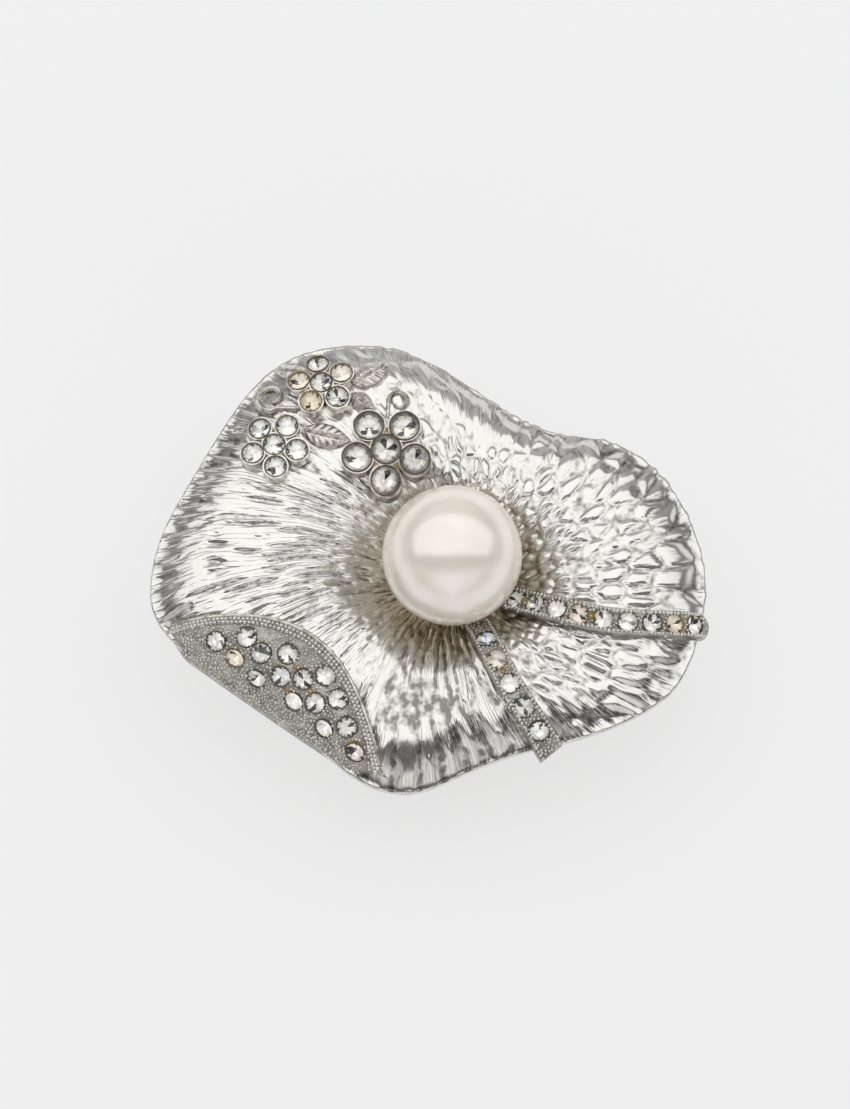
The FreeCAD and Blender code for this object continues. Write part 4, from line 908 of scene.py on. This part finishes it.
def make_turnover(settings):
    """The turned-over edge: granulated ground, two lines of square beads and a smooth wire rim."""
    surface = surface_of("turnover")
    corners = [v.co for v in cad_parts["turnover"].data.vertices]
    first = np.array(min(corners, key=lambda c: c.x)[:2])
    last = np.array(min(corners, key=lambda c: c.y)[:2])
    run = last - first
    inward = np.array((-run[1], run[0])) / np.linalg.norm(run)
    parts = [casting_copy("turnover_ground", "turnover")]
    for vertex in parts[0].data.vertices:      # the ends die away into the rim of the petal
        offset = np.array(vertex.co[:2]) - first
        share, depth = offset @ run / (run @ run), offset @ inward
        ends = min(1.0, max(0.0, min(share, 1 - share) / END_SHARE))
        shift = max(END_DEPTH - depth, 0.0) * (1 - ends * ends * (3 - 2 * ends))
        vertex.co.x += inward[0] * shift
        vertex.co.y += inward[1] * shift
    granulate(parts[0], stones_of("turnover_stones"), settings)
    for number, inset in enumerate(TURNOVER_LINES):
        plan = []
        for share in EDGE_SHARES:
            reaches = [d for d in np.arange(0, 2 * settings.turnover_depth,
                EDGE_STEP) if height_at(surface, *(first + run * share + inward * d)) is not None]
            if reaches and max(reaches) > EDGE_ROOM * inset:
                plan.append(first + run * share + inward * (max(reaches) - inset))
        line = lifted(surface, smooth_path(plan[::6] + plan[-1:], 6), TURNOVER_BEAD_RISE)
        if number == 0:
            parts.append(tube("turnover_rim", line, [TURNOVER_WIRE] * len(line), finish(satin_plate)))
        else:
            parts.append(bead_line(f"turnover_beads_{number}", line, settings, square=True))
    piece = join_pieces("turnover_granulated", parts)
    settle(piece, "frosted_plate", "turnover")


# ---------------------------------------------------------------- stones

STONE_SIDES = 8
KITE_REACH, KITE_HEIGHT = 0.80, 0.52      # of the girdle radius and of the crown
DEEP_REACH, DEEP_HEIGHT = 0.52, 0.52      # of the girdle radius and of the pavilion
GIRDLE_HALF = 0.03
FOIL_AGE = (-0.35, 0.5)                   # mean and spread; under 0 is clear, 1 is yellow


def cut_stone(settings):
    """Points and faces of a chaton of radius 1: eight-sided table, kites and half facets."""
    sides = STONE_SIDES
    step = 2 * math.pi / sides

    def ring(count, radius, height, turn=0.0):
        return [(radius * math.cos(turn + i * 2 * math.pi / count),
            radius * math.sin(turn + i * 2 * math.pi / count), height) for i in range(count)]

    table = ring(sides, settings.table, settings.crown)
    kite = ring(sides, KITE_REACH, settings.crown * KITE_HEIGHT, step / 2)
    girdle = ring(2 * sides, 1.0, GIRDLE_HALF)
    lower = ring(2 * sides, 1.0, -GIRDLE_HALF)
    deep = ring(sides, DEEP_REACH, -settings.pavilion * DEEP_HEIGHT, step / 2)
    points = table + kite + girdle + lower + deep + [(0, 0, -settings.pavilion)]
    t, k, g, l, d, tip = 0, sides, 2 * sides, 4 * sides, 6 * sides, 7 * sides
    crown = [tuple(range(sides))]
    pavilion = []
    for i in range(sides):
        j = (i + 1) % sides
        before = (i - 1) % sides
        crown.append((t + j, t + i, k + i))
        crown.append((t + i, k + before, g + 2 * i, k + i))
        crown.append((k + i, g + 2 * i, g + 2 * i + 1))
        crown.append((k + i, g + 2 * i + 1, g + (2 * i + 2) % (2 * sides)))
        pavilion.append((l + 2 * i, l + (2 * i - 1) % (2 * sides), d + before))
        pavilion.append((l + 2 * i, d + i, l + 2 * i + 1))
        pavilion.append((l + 2 * i, d + before, tip, d + i))
    for i in range(2 * sides):
        j = (i + 1) % (2 * sides)
        crown.append((g + i, l + i, l + j, g + j))
    return np.array(points), crown, pavilion


# section of the burr round a stone, in girdle radii: distance from its axis, height
BURR = ((1.01, 0.02), (1.12, 0.0), (1.13, 0.14), (1.09, 0.21), (1.04, 0.20), (1.01, 0.12))
BURR_STEPS = 24


def burr():
    """Points and faces of the ring of metal pressed against a stone of radius 1."""
    points = [(away * math.cos(a), away * math.sin(a),
        height) for a in np.arange(BURR_STEPS) * 2 * math.pi / BURR_STEPS for away, height in BURR]
    size = len(BURR)
    faces = []
    for i in range(BURR_STEPS):
        here, after = i * size, (i + 1) % BURR_STEPS * size
        for k in range(size):
            j = (k + 1) % size
            faces.append((here + k, after + k, after + j, here + j))
    return points, faces


def make_stones(node, settings, rng):
    """All the stones of a CAD node, each turned a little differently in its seat."""
    points, crown, pavilion = cut_stone(settings)
    ring_points, ring_faces = burr()
    points = np.vstack([points, ring_points])
    collar = [tuple(len(points) - len(ring_points) + k for k in face) for face in ring_faces]
    corners, faces, foiled, painted_reflections, ages = [], [], [], [], []
    for centre, axis, radius in stones_of(node):
        up = Vector(axis)
        side = up.orthogonal().normalized()
        across = up.cross(side)
        turn = rng.uniform(0, math.pi / 4)
        x = side * math.cos(turn) + across * math.sin(turn)
        y = up.cross(x)
        start = len(corners)
        for p in points * radius:
            corners.append(Vector(centre) + x * p[0] + y * p[1] + up * p[2])
        faces += [tuple(start + i for i in face) for face in crown + pavilion + collar]
        foiled += [0] * len(crown) + [1] * len(pavilion) + [2] * len(collar)
        # painted reflections, one random value per facet
        painted_reflections += [rng.random() for _ in crown + pavilion] + [0.0] * len(collar)
        ages += [min(1.0, max(0.0, rng.gauss(*FOIL_AGE)))] * len(crown + pavilion + collar)
    piece = add_piece(node + "_cut", corners, faces,
        [finish(lead_crystal), finish(mirror_foil), finish(dark_seat)], closed=True)
    piece.data.polygons.foreach_set("material_index", foiled)
    for name, values in (("facet_painted_reflection", painted_reflections), ("foil_age", ages)):
        piece.data.attributes.new(name, "FLOAT", "FACE").data.foreach_set("value", values)
    settle(piece, "crystal", node)


# ---------------------------------------------------------------- pearl

def revolve(profile, steps, centre):
    """Points and faces of a closed profile of (radius, height) turned about a vertical line."""
    points, rings, faces = [], [], []
    for radius, height in profile:
        count = 1 if radius == 0 else steps
        rings.append(list(range(len(points), len(points) + count)))
        for i in range(count):
            a = 2 * math.pi * i / steps
            points.append((centre[0] + radius * math.cos(a), centre[1] + radius * math.sin(a), height))
    for lower, upper in zip(rings, rings[1:]):
        for i in range(steps):
            j = (i + 1) % steps
            corners = [ring[k % len(ring)] for ring,
                k in ((lower, i), (lower, j), (upper, j), (upper, i))]
            faces.append(tuple(dict.fromkeys(corners)))
    return points, faces


PEARL_BORE = 0.83 * MM
BORE_ROOM = 0.05 * MM     # over the top of the peg
PEARL_RINGS, PEARL_STEPS = 90, 160
RIPPLES = (900, 400, 700, 500)            # radians per metre along x and z, and along y and z


def make_pearl(settings):
    """A half-drilled bead: a bore from below and a slightly uneven lacquer."""
    low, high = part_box("pearl")
    middle = (low + high) / 2
    radius = PEARL_RADIUS
    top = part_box("pearl_post")[1].z + BORE_ROOM
    start = math.asin(PEARL_BORE / radius)
    profile = [(0.0, top), (PEARL_BORE, top)]
    for angle in np.linspace(start, math.pi, PEARL_RINGS):
        reach = radius * math.sin(angle) if angle < math.pi - 1e-6 else 0.0
        profile.append((reach, middle.z - radius * math.cos(angle)))
    points, faces = revolve(profile, PEARL_STEPS, middle)
    shaped = []
    for p in points:
        out = Vector(p) - middle
        if out.length > radius * 0.9:
            a, b, c, d = RIPPLES
            wave = math.sin(out.x * a + out.z * b) * math.sin(out.y * c - out.z * d)
            out *= 1 - settings.ripple * (0.5 + 0.5 * wave) / radius
        shaped.append(middle + out)
    piece = add_piece("pearl_bead", shaped, faces, [finish(pearl_lacquer)], 40)
    settle(piece, "pearl", "pearl")


# ---------------------------------------------------------------- leaves

LEAF_RISE = 0.9 * MM
LEAF_ROWS, LEAF_COLUMNS = 44, 22
LEAF_PEAK, LEAF_FULLNESS = 0.92, 0.75     # powers: where it is widest, and how rounded it is
LEAF_TIP, LEAF_SINK = 0.02 * MM, 0.05 * MM
LEAF_DOME, LEAF_EDGE = 0.45, 0.75         # of the rise: lost towards the edge, and left at it
MIDRIB, MIDRIB_WIDTH = 0.35, 0.14 * MM
VEIN, VEIN_COUNT, VEIN_SLANT, VEIN_START = 0.10, 7, 1.1, 3


def make_leaf(node):
    """A pointed leaf with a raised edge, a sunk midrib and slanting veins, on the petal's surface."""
    corners = node_corners(node)
    plan = corners[:, :2]
    middle = plan.mean(0)
    axis = np.linalg.svd(plan - middle, full_matrices=False)[2][0]
    along = (plan - middle) @ axis
    tail = middle + axis * along.min()
    tip = middle + axis * along.max()
    across = np.array((-axis[1], axis[0]))
    half = np.abs((plan - middle) @ across).max()
    surface = surface_of("petal")
    rows, columns = LEAF_ROWS, LEAF_COLUMNS
    points, faces = [], []
    for i in range(rows + 1):
        share = i / rows
        width = half * max(math.sin(math.pi * share ** LEAF_PEAK), 0.0) ** LEAF_FULLNESS + LEAF_TIP
        for j in range(columns + 1):
            v = 2 * j / columns - 1
            place = tail + (tip - tail) * share + across * v * width
            ground = height_at(surface, *place)
            if ground is None:
                ground = corners[:, 2].min() + 0.2 * MM
            dome = 1 - LEAF_DOME * v * v
            midrib = MIDRIB * math.exp(-(v * width / MIDRIB_WIDTH) ** 2)
            slant = share * VEIN_COUNT - abs(v) * VEIN_SLANT
            vein = VEIN * math.cos(slant * 2 * math.pi) * min(1.0, abs(v) * VEIN_START)
            edge = LEAF_EDGE if abs(v) == 1 else 1.0
            points.append((*place, ground + LEAF_RISE * (
                dome - midrib - vein * (1 - abs(v) ** 6)) * edge))
    top = len(points)
    for i in range(rows + 1):
        for j in range(columns + 1):
            x, y, _ = points[i * (columns + 1) + j]
            ground = height_at(surface, x, y)
            points.append((x, y, (ground if ground is not None else corners[:, 2].min()) - LEAF_SINK))

    def number(i, j, base=0):
        return base + i * (columns + 1) + j

    for i in range(rows):
        for j in range(columns):
            face = (number(i, j), number(i + 1, j), number(i + 1, j + 1), number(i, j + 1))
            faces.append(face)
            faces.append(tuple(k + top for k in reversed(face)))
    border = [(i, 0) for i in range(rows)] + [(rows, j) for j in range(columns)]
    border += [(i, columns) for i in range(rows, 0, -1)] + [(0, j) for j in range(columns, 0, -1)]
    for a, b in zip(border, border[1:] + border[:1]):
        faces.append((number(*b), number(*a), number(*a, top), number(*b, top)))
    piece = add_piece(node + "_veined", points, faces, [finish(satin_plate)], 50, closed=True)
    settle(piece, "satin_plate", node)


def flower_middle(node):
    """Plan place of a flower's middle stone."""
    stones = stones_of(node)
    middle = np.mean([s[0] for s in stones], axis=0)
    return min((s[0] for s in stones), key=lambda c: np.linalg.norm(c - middle))[:2]


POOL_STEPS = 14
GAP_PLACE, GAP_SINK, GAP_POOL = 0.36, 0.15, 0.46   # of two spans to the petals; of the stone's radius
ROW_REACH, ROW_RISE, ROW_POOLS = 3.2, 0.06, (0.34, 0.52)   # of the stone's radius


# section of a pool of glue, in its own radius: distance from its axis, height
POOL = ((0.0, -0.9), (0.7, -0.8), (1.0, -0.15), (0.85, 0.25), (0.45, 0.42), (0.0, 0.46))


def add_glue(name, pools):
    """Small domed pools of yellowed glue, given as (place, radius)."""
    points, faces = [], []
    for place, radius in pools:
        shape = revolve(POOL, POOL_STEPS, (0.0, 0.0))
        start = len(points)
        points += [Vector(place) + Vector(p) * radius for p in shape[0]]
        faces += [tuple(start + k for k in face) for face in shape[1]]
    piece = add_piece(name, points, faces, [finish(amber_glue)], 60)
    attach(piece, ORNAMENT)


def flower_glue(node):
    """Glue in the gaps round the middle stone of a flower."""
    stones = stones_of(node + "_stones")
    middle = np.mean([s[0] for s in stones], axis=0)
    stones.sort(key=lambda s: np.linalg.norm(s[0] - middle))
    (centre, axis, radius), petals = stones[0], stones[1:]
    petals.sort(key=lambda s: math.atan2(s[0][1] - centre[1], s[0][0] - centre[0]))
    pools = [(centre + (a + b - 2 * centre) * GAP_PLACE - axis * GAP_SINK * radius,
        GAP_POOL * radius) for (a, _, _), (b, _, _) in zip(petals, petals[1:] + petals[:1])]
    add_glue(node + "_glue", pools)


def row_glue(node, share, rng):
    """Glue between some neighbouring stones of a band or of the turned-over edge."""
    stones = stones_of(node + "_stones")
    pools = []
    for number, (a, axis, radius) in enumerate(stones):
        for b, _, _ in stones[number + 1:]:
            if np.linalg.norm(a - b) < ROW_REACH * radius and rng.random() < share:
                pools.append(((a + b) / 2 + axis * ROW_RISE * radius, rng.uniform(*ROW_POOLS) * radius))
    add_glue(node + "_glue", pools)


# node and its flower; middle of the scroll from the flower's, radius outside and at the eye, start in
# degrees, turns, end of the stem from the middle, wire radius; lengths in millimetres
SCROLLS = (
    ("tendril_left", "cluster_top", (-5.6, -1.0), 1.65, 0.6, -60, -1.05, (2.9, -1.6), 0.36),
    ("tendril_right", "cluster_right", (1.3, 5.9), 1.1, 0.45, 190, -0.95, (-1.2, -1.8), 0.32),
)


SCROLL_POINTS, SCROLL_PARTS = 14, 12
SCROLL_POWER = 2.2                        # how late the scroll tightens
SCROLL_THIN, SCROLL_RIDGES = 0.45, (0.13, 5)       # taper of its ends; depth and spacing of the cast ridges
SCROLL_SIT = 0.55                         # height over the petal, of its radius


def make_scroll(node, flower, middle, outer, inner, start, turns, stem, wire):
    """A scroll of round wire that lies on the petal, from the end of its stem in to its eye."""
    surface = surface_of("petal")
    middle = flower_middle(flower + "_stones") + np.array(middle) * MM
    outer, inner, wire = outer * MM, inner * MM, wire * MM
    plan = [middle + np.array(stem) * MM]
    for share in np.linspace(0, 1, SCROLL_POINTS):
        radius = outer + (inner - outer) * share ** SCROLL_POWER
        angle = math.radians(start + 360 * turns * share)
        plan.append(middle + radius * np.array((math.cos(angle), math.sin(angle))))
    laid, thicks = [], []
    for number, (x, y) in enumerate(smooth_path(plan, SCROLL_PARTS)):
        share = number / (SCROLL_PARTS * (len(plan) - 1))
        taper = 1 - SCROLL_THIN + SCROLL_THIN * math.sin(math.pi * min(1.0, 0.12 + 0.95 * share))
        thicks.append(wire * taper * (1 + SCROLL_RIDGES[0] * math.cos(
            2 * math.pi * number / SCROLL_RIDGES[1])))
        laid.append((x, y, height_at(surface, x, y) + SCROLL_SIT * wire))
    piece = tube(node + "_wire", laid, thicks, finish(satin_plate))
    settle(piece, "satin_plate", node)


WIRE_SIDES = 12
WIRE_HEIGHT = 1.25        # of its width


def tube(name, path, thicks, material):
    """A round wire along a path that lies nearly level, a little taller than wide."""
    path, sides = np.array(path), WIRE_SIDES
    tangents = np.gradient(path, axis=0)
    points, faces = [], []
    for place, (u, v, _), thick in zip(path, tangents, thicks):
        across = Vector((-v, u, 0)).normalized()
        for k in range(sides):
            a = 2 * math.pi * k / sides
            points.append(Vector(place) + across * thick * math.cos(a) + Vector((0, 0,
                thick * WIRE_HEIGHT * math.sin(a))))
    for row in range(len(path) - 1):
        for k in range(sides):
            j = (k + 1) % sides
            a, b = row * sides, (row + 1) * sides
            faces.append((a + k, a + j, b + j, b + k))
    faces += [tuple(range(sides)), tuple(reversed(range(len(points) - sides, len(points))))]
    return add_piece(name, points, faces, [material], 60, closed=True)


# ---------------------------------------------------------------- operators

STONE_SEED, GLUE_SEED = 12, 5
GLUED = (("turnover", 0.25), ("right_band", 0.5), ("lower_band", 0.8))   # share of gaps with glue


class HAIRCLIP_OT_petal(bpy.types.Operator):
    """Builds the hammered petal"""
    bl_idname = "hairclip.petal"
    bl_label = "Petal"

    def execute(self, context):
        make_petal(context.scene.clip_petal)
        return {"FINISHED"}


class HAIRCLIP_OT_turnover(bpy.types.Operator):
    """Builds the turned-over, granulated edge"""
    bl_idname = "hairclip.turnover"
    bl_label = "Turnover"

    def execute(self, context):
        make_turnover(context.scene.clip_beads)
        return {"FINISHED"}


class HAIRCLIP_OT_bands(bpy.types.Operator):
    """Builds the two beaded bands"""
    bl_idname = "hairclip.bands"
    bl_label = "Bands"

    def execute(self, context):
        for node in ("right_band", "lower_band"):
            make_band(node, context.scene.clip_beads)
        return {"FINISHED"}


class HAIRCLIP_OT_stones(bpy.types.Operator):
    """Cuts and sets the crystal stones"""
    bl_idname = "hairclip.stones"
    bl_label = "Stones"

    def execute(self, context):
        rng = random.Random(STONE_SEED)
        for node in STONE_NODES:
            make_stones(node, context.scene.clip_stones, rng)
        return {"FINISHED"}


class HAIRCLIP_OT_spray(bpy.types.Operator):
    """Builds the veined leaves, and finishes the stone cups and the scrolls"""
    bl_idname = "hairclip.spray"
    bl_label = "Floral spray"

    def execute(self, context):
        for node in LEAVES:
            make_leaf(node)
        dress(CLUSTERS, satin_plate)
        for scroll in SCROLLS:
            make_scroll(*scroll)
        for node in CLUSTERS:
            flower_glue(node)
        rng = random.Random(GLUE_SEED)
        for node, share in GLUED:
            row_glue(node, share, rng)
        return {"FINISHED"}


class HAIRCLIP_OT_pearl(bpy.types.Operator):
    """Builds the faux pearl"""
    bl_idname = "hairclip.pearl"
    bl_label = "Pearl"

    def execute(self, context):
        make_pearl(context.scene.clip_pearl)
        return {"FINISHED"}


def dress(nodes, make):
    """Gives CAD nodes a finish on their own material slots."""
    for node in nodes:
        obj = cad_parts[node]
        if not obj.material_slots:
            obj.data.materials.append(None)
        for slot in obj.material_slots:
            slot.material = finish(make)


class HAIRCLIP_OT_clasp(bpy.types.Operator):
    """Finishes the barrette clasp and the pearl's seat"""
    bl_idname = "hairclip.clasp"
    bl_label = "Clasp"

    def execute(self, context):
        dress(SATIN_NODES, satin_plate)
        dress(CLASP_NODES, nickel_steel)
        dress(SPRING_NODES, spring_steel)
        return {"FINISHED"}


# grey of the room by direction: degrees from straight up, towards the front and to the sides
FRONT_GREYS = ((-180, "C0C0C0"), (-100, "D8D8D8"), (-80, "CACACA"), (-54, "B8B8B8"), (-50, "BEBEBE"),
               (14, "BEBEBE"), (19, "646466"), (30, "5E5E60"), (40, "949496"), (50, "F2F2F2"),
               (100, "FEFEFE"), (180, "C0C0C0"))
ROOM_STRENGTH = 1.08
SIDE_GREYS = ((0, "FFFFFF"), (58, "D8D8D8"), (72, "989898"), (86, "D0D0D0"), (102, "FFFFFF"))


def light_world():
    """White for the camera; for the object, a light room that darkens round the soft box."""
    world = bpy.data.worlds.new("Light tent")
    bpy.context.scene.world = world
    world.use_nodes = True
    tree = world.node_tree
    tree.nodes.clear()
    add = partial(add_node, tree)
    where = add("ShaderNodeTexCoord").outputs["Generated"]
    parts = add("ShaderNodeSeparateXYZ", {0: where})
    front = add("ShaderNodeMath", {0: parts.outputs["Y"], 1: -1.0}, operation="MULTIPLY")
    side = add("ShaderNodeMath", {0: parts.outputs["X"]}, operation="ABSOLUTE")
    greys = []
    for toward, stops in ((front, FRONT_GREYS), (side, SIDE_GREYS)):
        angle = add("ShaderNodeMath", {0: toward, 1: parts.outputs["Z"]}, operation="ARCTAN2")
        share = add("ShaderNodeMapRange", {0: angle, 1: -math.pi, 2: math.pi})
        greys.append(add("ShaderNodeValToRGB", {0: share},
            stops=[((degrees + 180) / 360, grey) for degrees, grey in stops]))
    tent = add("ShaderNodeMix", {0: 1.0, 6: greys[0], 7: greys[1]}, data_type="RGBA",
        blend_type="MULTIPLY")
    path = add("ShaderNodeLightPath")
    inside = add("ShaderNodeBackground", {"Color": tent.outputs[2], "Strength": ROOM_STRENGTH})
    seen = add("ShaderNodeBackground", {"Color": linear("F1F1F2"), "Strength": 1.0})
    clear = add("ShaderNodeMath", {0: path.outputs["Is Camera Ray"],
        1: path.outputs["Is Transmission Ray"]}, operation="MAXIMUM")
    shown = add("ShaderNodeMixShader", {0: clear, 1: inside, 2: seen})
    add("ShaderNodeOutputWorld", {0: shown})


def pale_floor():
    """Matt white card lit evenly from behind, so that only soft shadows fall on it."""
    material, _, shader = shader_tree("Matt white card")
    plug(shader, {"Base Color": linear("868686"), "Roughness": 0.9, "Emission Color": linear("FFFFFF"),
        "Emission Strength": 0.66})
    return material


def soft_box(name, place, aim, width, height, radiance):
    """A rectangular soft box of even radiance."""
    light = bpy.data.lights.new(name, "AREA")
    light.shape = "RECTANGLE"
    light.size, light.size_y = width, height
    light.energy = radiance * width * height * math.pi
    lamp = show(name, light)
    lamp.location = place
    lamp.rotation_euler = (Vector(aim) - Vector(place)).to_track_quat("-Z", "Y").to_euler()


FLOOR_HALF = 2.0
AIM = (-0.45 * MM, 0.87 * MM, 14.0 * MM)      # what the camera looks at
KEY_PLACE = (0.0, 0.14, 0.44)                 # of the soft box, from the aim
KEY_SIZE = (2.0, 0.66)


class HAIRCLIP_OT_stage(bpy.types.Operator):
    """Sets the floor, the lights and the camera"""
    bl_idname = "hairclip.stage"
    bl_label = "Stage"

    def execute(self, context):
        settings = context.scene.clip_stage
        scene = context.scene
        scene.view_settings.view_transform = "Standard"
        corners = [(x * FLOOR_HALF, y * FLOOR_HALF, 0) for x, y in ((-1, -1), (1, -1), (1, 1), (-1, 1))]
        floor = add_piece("floor", corners, [(0, 1, 2, 3)], [pale_floor()])
        light_world()
        target = Vector(AIM)
        soft_box("key_box", target + Vector(KEY_PLACE), target, *KEY_SIZE, settings.key_light)
        back = Vector((0, -math.cos(settings.elevation), math.sin(settings.elevation)))
        camera_data = bpy.data.cameras.new("camera")
        camera_data.lens = settings.lens
        camera_data.clip_start, camera_data.clip_end = 0.01, 10.0
        camera = show("camera", camera_data)
        distance = settings.height_seen * settings.lens / camera_data.sensor_width
        camera.location = target + back * distance
        camera.rotation_euler = (-back).to_track_quat("-Z", "Y").to_euler()
        scene.camera = camera
        return {"FINISHED"}


OPERATORS = (
    HAIRCLIP_OT_petal, HAIRCLIP_OT_turnover, HAIRCLIP_OT_bands, HAIRCLIP_OT_stones,
    HAIRCLIP_OT_spray, HAIRCLIP_OT_pearl, HAIRCLIP_OT_clasp, HAIRCLIP_OT_stage,
)


class HAIRCLIP_PT_panel(bpy.types.Panel):
    """Lists the steps that finish the hair clip"""
    bl_label = "Flower hair clip"
    bl_idname = "HAIRCLIP_PT_panel"
    bl_space_type = "VIEW_3D"
    bl_region_type = "UI"
    bl_category = "Hair clip"

    def draw(self, context):
        for operator in OPERATORS:
            self.layout.operator(operator.bl_idname)
        for name in SETTINGS:
            group = getattr(context.scene, name)
            box = self.layout.box()
            for key in group.bl_rna.properties.keys():
                if key not in ("rna_type", "name"):
                    box.prop(group, key)


SETTINGS = {"clip_petal": PetalSettings, "clip_beads": BeadSettings, "clip_stones": StoneSettings,
            "clip_pearl": PearlSettings, "clip_stage": StageSettings,
}
CLASSES = tuple(SETTINGS.values()) + OPERATORS + (HAIRCLIP_PT_panel,)


def register():
    for cls in CLASSES:
        bpy.utils.register_class(cls)
    for name, group in SETTINGS.items():
        setattr(bpy.types.Scene, name, bpy.props.PointerProperty(type=group))


def unregister():
    for name in SETTINGS:
        delattr(bpy.types.Scene, name)
    for cls in reversed(CLASSES):
        bpy.utils.unregister_class(cls)


def main():
    register()
    for operator in OPERATORS:
        group, name = operator.bl_idname.split(".")
        getattr(getattr(bpy.ops, group), name)()


if __name__ == "__main__":
    main()
